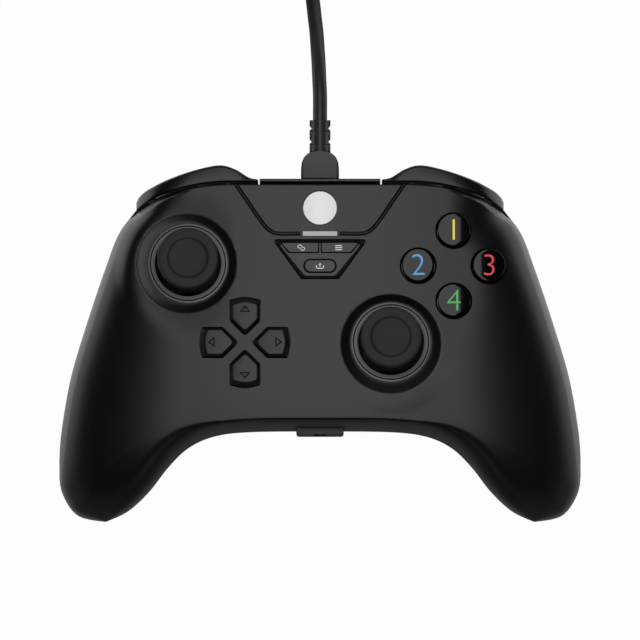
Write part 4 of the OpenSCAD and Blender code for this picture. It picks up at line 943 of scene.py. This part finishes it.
# %% Marks on the buttons
NUMERAL_SIZE, NUMERAL_THIN = 9.3, 0.14
MARKS = {"top": ("1", (0.90, 0.68, 0.04)), "left": ("2", (0.07, 0.34, 0.68)),
         "right": ("3", (0.74, 0.03, 0.06)), "bottom": ("4", (0.07, 0.45, 0.11))}
for side, (numeral, colour) in MARKS.items():
    text = bpy.data.curves.new("numeral", "FONT")
    text.body = numeral
    text.align_x = "CENTER"
    text.align_y = "CENTER"
    text.size = NUMERAL_SIZE * MM
    text.offset = -NUMERAL_THIN * MM
    text.resolution_u = 6
    mark = bpy.data.objects.new("mark_" + side, text)
    scene.collection.objects.link(mark)
    only(mark)
    bpy.ops.object.convert(target="MESH")
    mark = bpy.context.object
    bpy.ops.object.mode_set(mode="EDIT")
    bpy.ops.mesh.select_all(action="SELECT")
    bpy.ops.mesh.quads_convert_to_tris()
    bpy.ops.mesh.subdivide(number_cuts=2)
    bpy.ops.object.mode_set(mode="OBJECT")
    x, y = BUTTONS[side]
    co = np.array([v.co for v in mark.data.vertices])
    co[:, :2] -= (co[:, :2].min(0) + co[:, :2].max(0)) / 2
    r = np.linalg.norm(co[:, :2], axis=1) / MM
    co[:, 2] = (face_at(x, y) + BUTTON_RISE - DOME * (r / (BUTTON_R - SHOULDER)) ** 2 + 0.03) * MM
    co[:, :2] += np.array((x, y)) * MM
    mark.data.vertices.foreach_set("co", co.ravel())
    mark.data.materials.clear()
    mark.data.materials.append(finish("mark_" + side, colour, 0.3, spread=0.0))
    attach(mark, "face_button_" + side)
print(len(MARKS), "numerals, the last of", len(mark.data.polygons), "faces")

# %% [markdown]
# ## Direction keys
# Four separate keys meet in the middle with pointed tips. Each is skinned from a few outlines of one
# shape: straight sides, then a slope that is wider at the outer end, then a flat top. A small triangle is
# engraved near the outer end by cutting a thin outline.

# %% Direction keys
DPAD_TOP = FACE_Z + 1.2
ARROW_DEPTH = 0.2
arrow_outer = [(0, 10.95), (-1.6, 8.95), (1.6, 8.95)]
arrow_inner = [(0, 10.3), (-0.95, 9.28), (0.95, 9.28)]
dpad_low = low_of(*DPAD, 14)
key_layers = [(0, 0, dpad_low - 1), (0, 0, FACE_Z + 0.1), (-0.08, -0.12, FACE_Z + 0.28),
              (-0.72, -1.12, DPAD_TOP - 0.1), (-0.82, -1.26, DPAD_TOP - 0.02), (-0.95, -1.4, DPAD_TOP)]


def in_arrow(face):
    """True for the floor of the engraved triangle."""
    return abs(face.center.z / MM - DPAD_TOP + ARROW_DEPTH) < 0.02


for side, turn in DPAD_TURNS.items():
    key = lofted("key_" + side, [[(px, py, z) for px, py in placed(key_outline(g, e), DPAD, turn)]
                                 for g, e, z in key_layers])
    flange = prism("flange", placed(key_outline(1, 1), DPAD, turn), dpad_low - 1.02, dpad_low - 0.02)
    add_on(key, flange)
    groove = prism("groove", placed(arrow_outer, DPAD, turn), DPAD_TOP - ARROW_DEPTH, DPAD_TOP + 1)
    cut(groove, prism("island", placed(arrow_inner, DPAD, turn), DPAD_TOP - 1, DPAD_TOP + 2))
    cut(key, groove)
    soften(key, 25)
    stand_for(key, "key", "dpad_key_" + side, "dpad_key_" + side)
    # Painted shade: the floor of the engraved triangle gets the black that stands for the shade in it.
    paint_where(key, SHADE_BLACK, in_arrow)
print("direction keys", len(key.data.polygons), "faces each")

# %% [markdown]
# ## Thumb sticks
# A stick is rubber over a plastic core: a dished cap with a raised rim, a waist and a dust dome that
# slides under the trim ring. All of it is round, so one profile spun about the stick's axis makes each.

# %% Thumb sticks
CAP_R, CAP_TOP, CAP_T, STICK_Z = 8.95, FACE_Z + 11.6, 4.6, 36.5
NECK_R, DUST_R, DUST_IN_R, DUST_ANGLE = 4.3, 11, 9.8, 31
RING_IN_R, RING_T, RING_LINE = 9.7, 1.9, 0.7


def dust_arc(r, start, end, steps):
    """Part of the dust dome's profile, a circle round the point about which the stick tilts."""
    return [(r * math.sin(a), STICK_Z + r * math.cos(a)) for a in np.linspace(start, end, steps)]


def under_cap(face):
    return face.center.z < (CAP_TOP - CAP_T - 0.3) * MM


def in_ring_line(face):
    return abs(face.center.z / MM - ring_top + RING_LINE) < 0.01


top = CAP_TOP
cap_profile = ([(0, top - 0.72), (3, top - 0.7), (5, top - 0.64), (5.45, top - 0.58), (5.65, top - 0.5)]
               + [(5.8, top - 0.36), (5.95, top - 0.18), (6.15, top - 0.06), (6.5, top - 0.01), (7.2, top)]
               + [(8, top - 0.03)]
               + arc(CAP_R - 0.75, top - 0.8, 0.75, 78, 0, 8)
               + arc(CAP_R - 0.8, top - CAP_T + 0.95, 0.8, 0, -80, 8)
               + [(5.7, top - CAP_T), (4.7, top - CAP_T - 0.5), (NECK_R, top - CAP_T - 1.4)]
               + dust_arc(DUST_R, math.asin(NECK_R / DUST_R), math.radians(DUST_ANGLE), 12)
               + dust_arc(DUST_IN_R, math.radians(DUST_ANGLE), math.radians(12), 9)
               + [(1.5, STICK_Z + 9.6), (1.5, top - CAP_T + 1), (0, top - CAP_T + 1)])
ring_top = FACE_Z - 1.2
ring_profile = [(RING_IN_R, ring_top - RING_T), (RING_R, ring_top - RING_T), (RING_R, ring_top - 0.25),
                (RING_R - 0.1, ring_top - 0.08), (RING_R - 0.25, ring_top), (RING_R - 0.6, ring_top),
                (RING_R - 0.62, ring_top - RING_LINE), (RING_R - 0.96, ring_top - RING_LINE),
                (RING_R - 0.98, ring_top), (10.1, ring_top - 0.03), (9.85, ring_top - 0.12),
                (RING_IN_R, ring_top - 0.4), (RING_IN_R, ring_top - RING_T)]
for side, spot in STICKS.items():
    cap = turned(side + "_cap", cap_profile, spot, steps=128)
    soften(cap, 40)
    stand_for(cap, "cap", side + "_stick", side + "_stick_cap")
    # Painted shade: the dust dome under the cap gets the black that stands for the deep shade it lies in.
    paint_where(cap, SHADE_BLACK, under_cap)
    ring = turned(side + "_ring", ring_profile, spot, steps=128)
    soften(ring, 40)
    stand_for(ring, "ring", "root", side + "_stick_ring")
    # Painted shade: the thin groove round the trim ring gets the black that stands for the shade inside it.
    paint_where(ring, SHADE_BLACK, in_ring_line)
print("sticks", len(cap.data.polygons), "faces each")

# %% [markdown]
# ## Small mouldings
# The bridge, panel, small keys, plates and plugs already have the right shape in the frame. Real
# mouldings never have knife edges, so copies of them get a fine bevel that catches the light.

# %% Small mouldings
for node, width in (("front_bridge", 0.12), ("jack_plate", 0.2), ("usb_plug", 0.3), ("strain_relief", 0.2),
                    ("light_bar", 0.08)):
    eased(node, width)
panel = eased("control_panel", 0.1)
roof = lofted("roof", [[(x, y, z) for x, y in panel_outline(g)]
                       for g, z in ((0.8, 30), (0.8, 44.3), (0, 44.6), (-0.8, 45.56), (-1.05, 45.86))])
cut(panel, roof, operation="INTERSECT")
soften(panel, 30)
apply_modifier(panel, "WEIGHTED_NORMAL", keep_sharp=True, weight=100)
small_key = finish("small_key_black", grey(0.02), 0.40, grain=0.05, specular=0.65)
for node, width in (("view_key", 0.25), ("menu_key", 0.25), ("share_key", 0.6)):
    key = eased(node, width, body=node)
    key.data.materials[0] = small_key
print("panel", len(panel.data.polygons), "faces")

# %% [markdown]
# ## Printed signs
# The three small keys carry printed signs: two overlapping windows, three bars, and a tray with an arrow.
# They are thin plates of white ink that lie on the keys and move with them.

# %% Printed signs
INK = finish("ink_white", (0.75, 0.75, 0.75), 0.4)


def sign(name, body, outlines, top=FACE_Z):
    """Ink plates of the given outlines on a key."""
    plates = [prism(name, outline, top + 0.005, top + 0.03) for outline in outlines]
    join(plates[0], *plates[1:])
    plate = plates[0]
    plate.name = name
    plate.data.materials.clear()
    plate.data.materials.append(INK)
    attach(plate, body)


def bar(x0, y0, x1, y1):
    return [(x0, y0), (x1, y0), (x1, y1), (x0, y1)]


def frame_bars(x0, y0, x1, y1, t):
    return [bar(x0, y0, x1, y0 + t), bar(x0, y1 - t, x1, y1), bar(x0, y0, x0 + t, y1), bar(x1 - t, y0, x1, y1)]


sign("sign_windows", "view_key", frame_bars(-6.6, 26.1, -5.3, 27.15, 0.2)
     + frame_bars(-5.75, 25.45, -4.45, 26.5, 0.22))
sign("sign_bars", "menu_key", [bar(4.5, y, 6.5, y + 0.25) for y in (25.55, 26.15, 26.75)])
sign("sign_tray", "share_key", [bar(-1.2, 20, 1.2, 20.26), bar(-1.2, 20, -0.94, 21), bar(0.94, 20, 1.2, 21),
                                bar(-0.13, 20.6, 0.13, 21.5), [(-0.5, 21.2), (0.5, 21.2), (0, 21.75)]])
print("signs on three keys")

# %% [markdown]
# ## Table
# The photograph has a plain white ground. The table is white to the camera and takes only a faint shadow.
# In the plastic's gloss it is bright at both sides of the pad and dim under its middle and its rear, as a
# white card at each side of a product table would be.

# %% Table
def worked(tree, operation, *values):
    """A value worked out from others by one Math node."""
    node = tree.nodes.new("ShaderNodeMath")
    node.operation = operation
    for value, socket in zip(values, node.inputs):
        tree.links.new(value, socket)
    return node.outputs[0]


def ray_is(tree, *kinds):
    """A value that is 1 for rays of the given kinds."""
    path = tree.nodes.new("ShaderNodeLightPath")
    total = path.outputs[kinds[0]]
    for kind in kinds[1:]:
        total = worked(tree, "MAXIMUM", total, path.outputs[kind])
    return total


def mixed(tree, factor, first, second):
    """A mix of two shaders by a number or by another node's value."""
    mix = tree.nodes.new("ShaderNodeMixShader")
    if isinstance(factor, float):
        mix.inputs[0].default_value = factor
    else:
        tree.links.new(factor, mix.inputs[0])
    tree.links.new(first, mix.inputs[1])
    tree.links.new(second, mix.inputs[2])
    return mix.outputs[0]


def scaled(tree, value, low, high, first, last):
    """A value that runs from first to last while another runs from low to high."""
    node = tree.nodes.new("ShaderNodeMapRange")
    for socket, number in zip(node.inputs[1:5], (low, high, first, last)):
        socket.default_value = number
    tree.links.new(value, node.inputs[0])
    return node.outputs[0]


bpy.ops.object.select_all(action="DESELECT")
bpy.ops.mesh.primitive_plane_add(size=6)
table = bpy.context.object
table.name = "table"
white = bpy.data.materials.new("table_white")
white.use_nodes = True
tree = white.node_tree
tree.nodes.clear()
glow = tree.nodes.new("ShaderNodeEmission")
paint = tree.nodes.new("ShaderNodeBsdfDiffuse")
paint.inputs["Color"].default_value = (0.8, 0.8, 0.8, 1)
ground = mixed(tree, 0.02, glow.outputs[0], paint.outputs[0])
where = tree.nodes.new("ShaderNodeNewGeometry")
split = tree.nodes.new("ShaderNodeSeparateXYZ")
tree.links.new(where.outputs["Position"], split.inputs[0])
sides = scaled(tree, worked(tree, "ABSOLUTE", split.outputs["X"]), 0.035, 0.065, 0.2, 1)
depth = scaled(tree, split.outputs["Y"], -0.08, 0, 0.15, 1)
carded = tree.nodes.new("ShaderNodeEmission")
tree.links.new(worked(tree, "MULTIPLY", sides, depth), carded.inputs["Strength"])
floor = mixed(tree, ray_is(tree, "Is Glossy Ray"), paint.outputs[0], carded.outputs[0])
out = tree.nodes.new("ShaderNodeOutputMaterial")
seen = ray_is(tree, "Is Camera Ray", "Is Transmission Ray")
tree.links.new(mixed(tree, seen, floor, ground), out.inputs["Surface"])
table.data.materials.append(white)
print("table", [round(d, 1) for d in table.dimensions], "m")

# %% [markdown]
# ## World
# The world is what the plastic mirrors above the table. The camera sees plain white, glossy rays see a dark
# room with a bright horizon at both sides and in front, and all other rays get an even light that fills the
# shadows.

# %% World
AMBIENT = 0.6
world = bpy.data.worlds.new("room")
scene.world = world
world.use_nodes = True
world.cycles.sampling_method = "NONE"
tree = world.node_tree
tree.nodes.clear()
white_sky = tree.nodes.new("ShaderNodeBackground")
white_sky.inputs["Color"].default_value = (1, 1, 1, 1)
ambient = tree.nodes.new("ShaderNodeBackground")
ambient.inputs["Color"].default_value = (AMBIENT, AMBIENT, AMBIENT, 1)
room = tree.nodes.new("ShaderNodeBackground")
where = tree.nodes.new("ShaderNodeTexCoord")
split = tree.nodes.new("ShaderNodeSeparateXYZ")
tree.links.new(where.outputs["Generated"], split.inputs[0])
horizon = scaled(tree, split.outputs["Z"], 0, 0.12, 1, 0.01)
sides = scaled(tree, worked(tree, "ABSOLUTE", split.outputs["X"]), 0.3, 0.7, 0.15, 1)
front = scaled(tree, split.outputs["Y"], 0.2, 0.6, 0, 1)
either = worked(tree, "MAXIMUM", sides, front)
room.inputs["Color"].default_value = (1, 1, 1, 1)
tree.links.new(worked(tree, "MULTIPLY", horizon, either), room.inputs["Strength"])
sky = mixed(tree, ray_is(tree, "Is Glossy Ray"), ambient.outputs[0], room.outputs[0])
sky = mixed(tree, ray_is(tree, "Is Camera Ray", "Is Transmission Ray"), sky, white_sky.outputs[0])
out = tree.nodes.new("ShaderNodeOutputWorld")
tree.links.new(sky, out.inputs["Surface"])
print("ambient level", AMBIENT)

# %% [markdown]
# ## Softbox
# One long area lamp hangs straight above, as a softbox over a product table does. The flat face and the
# buttons mirror it, and the rounded sides, which turn away from it, fall off into the dark.

# %% Softbox
SOFTBOX_W, SOFTBOX_L, SOFTBOX_LEVEL = 0.091, 0.39, 2.4
softbox_data = bpy.data.lights.new("softbox", "AREA")
softbox_data.shape = "RECTANGLE"
softbox_data.size = SOFTBOX_W
softbox_data.size_y = SOFTBOX_L
softbox_data.energy = SOFTBOX_W * SOFTBOX_L * math.pi * SOFTBOX_LEVEL
softbox = bpy.data.objects.new("softbox", softbox_data)
scene.collection.objects.link(softbox)
softbox.location = (0, 0.005, 0.296)
print("softbox", round(softbox_data.energy, 3), "W")
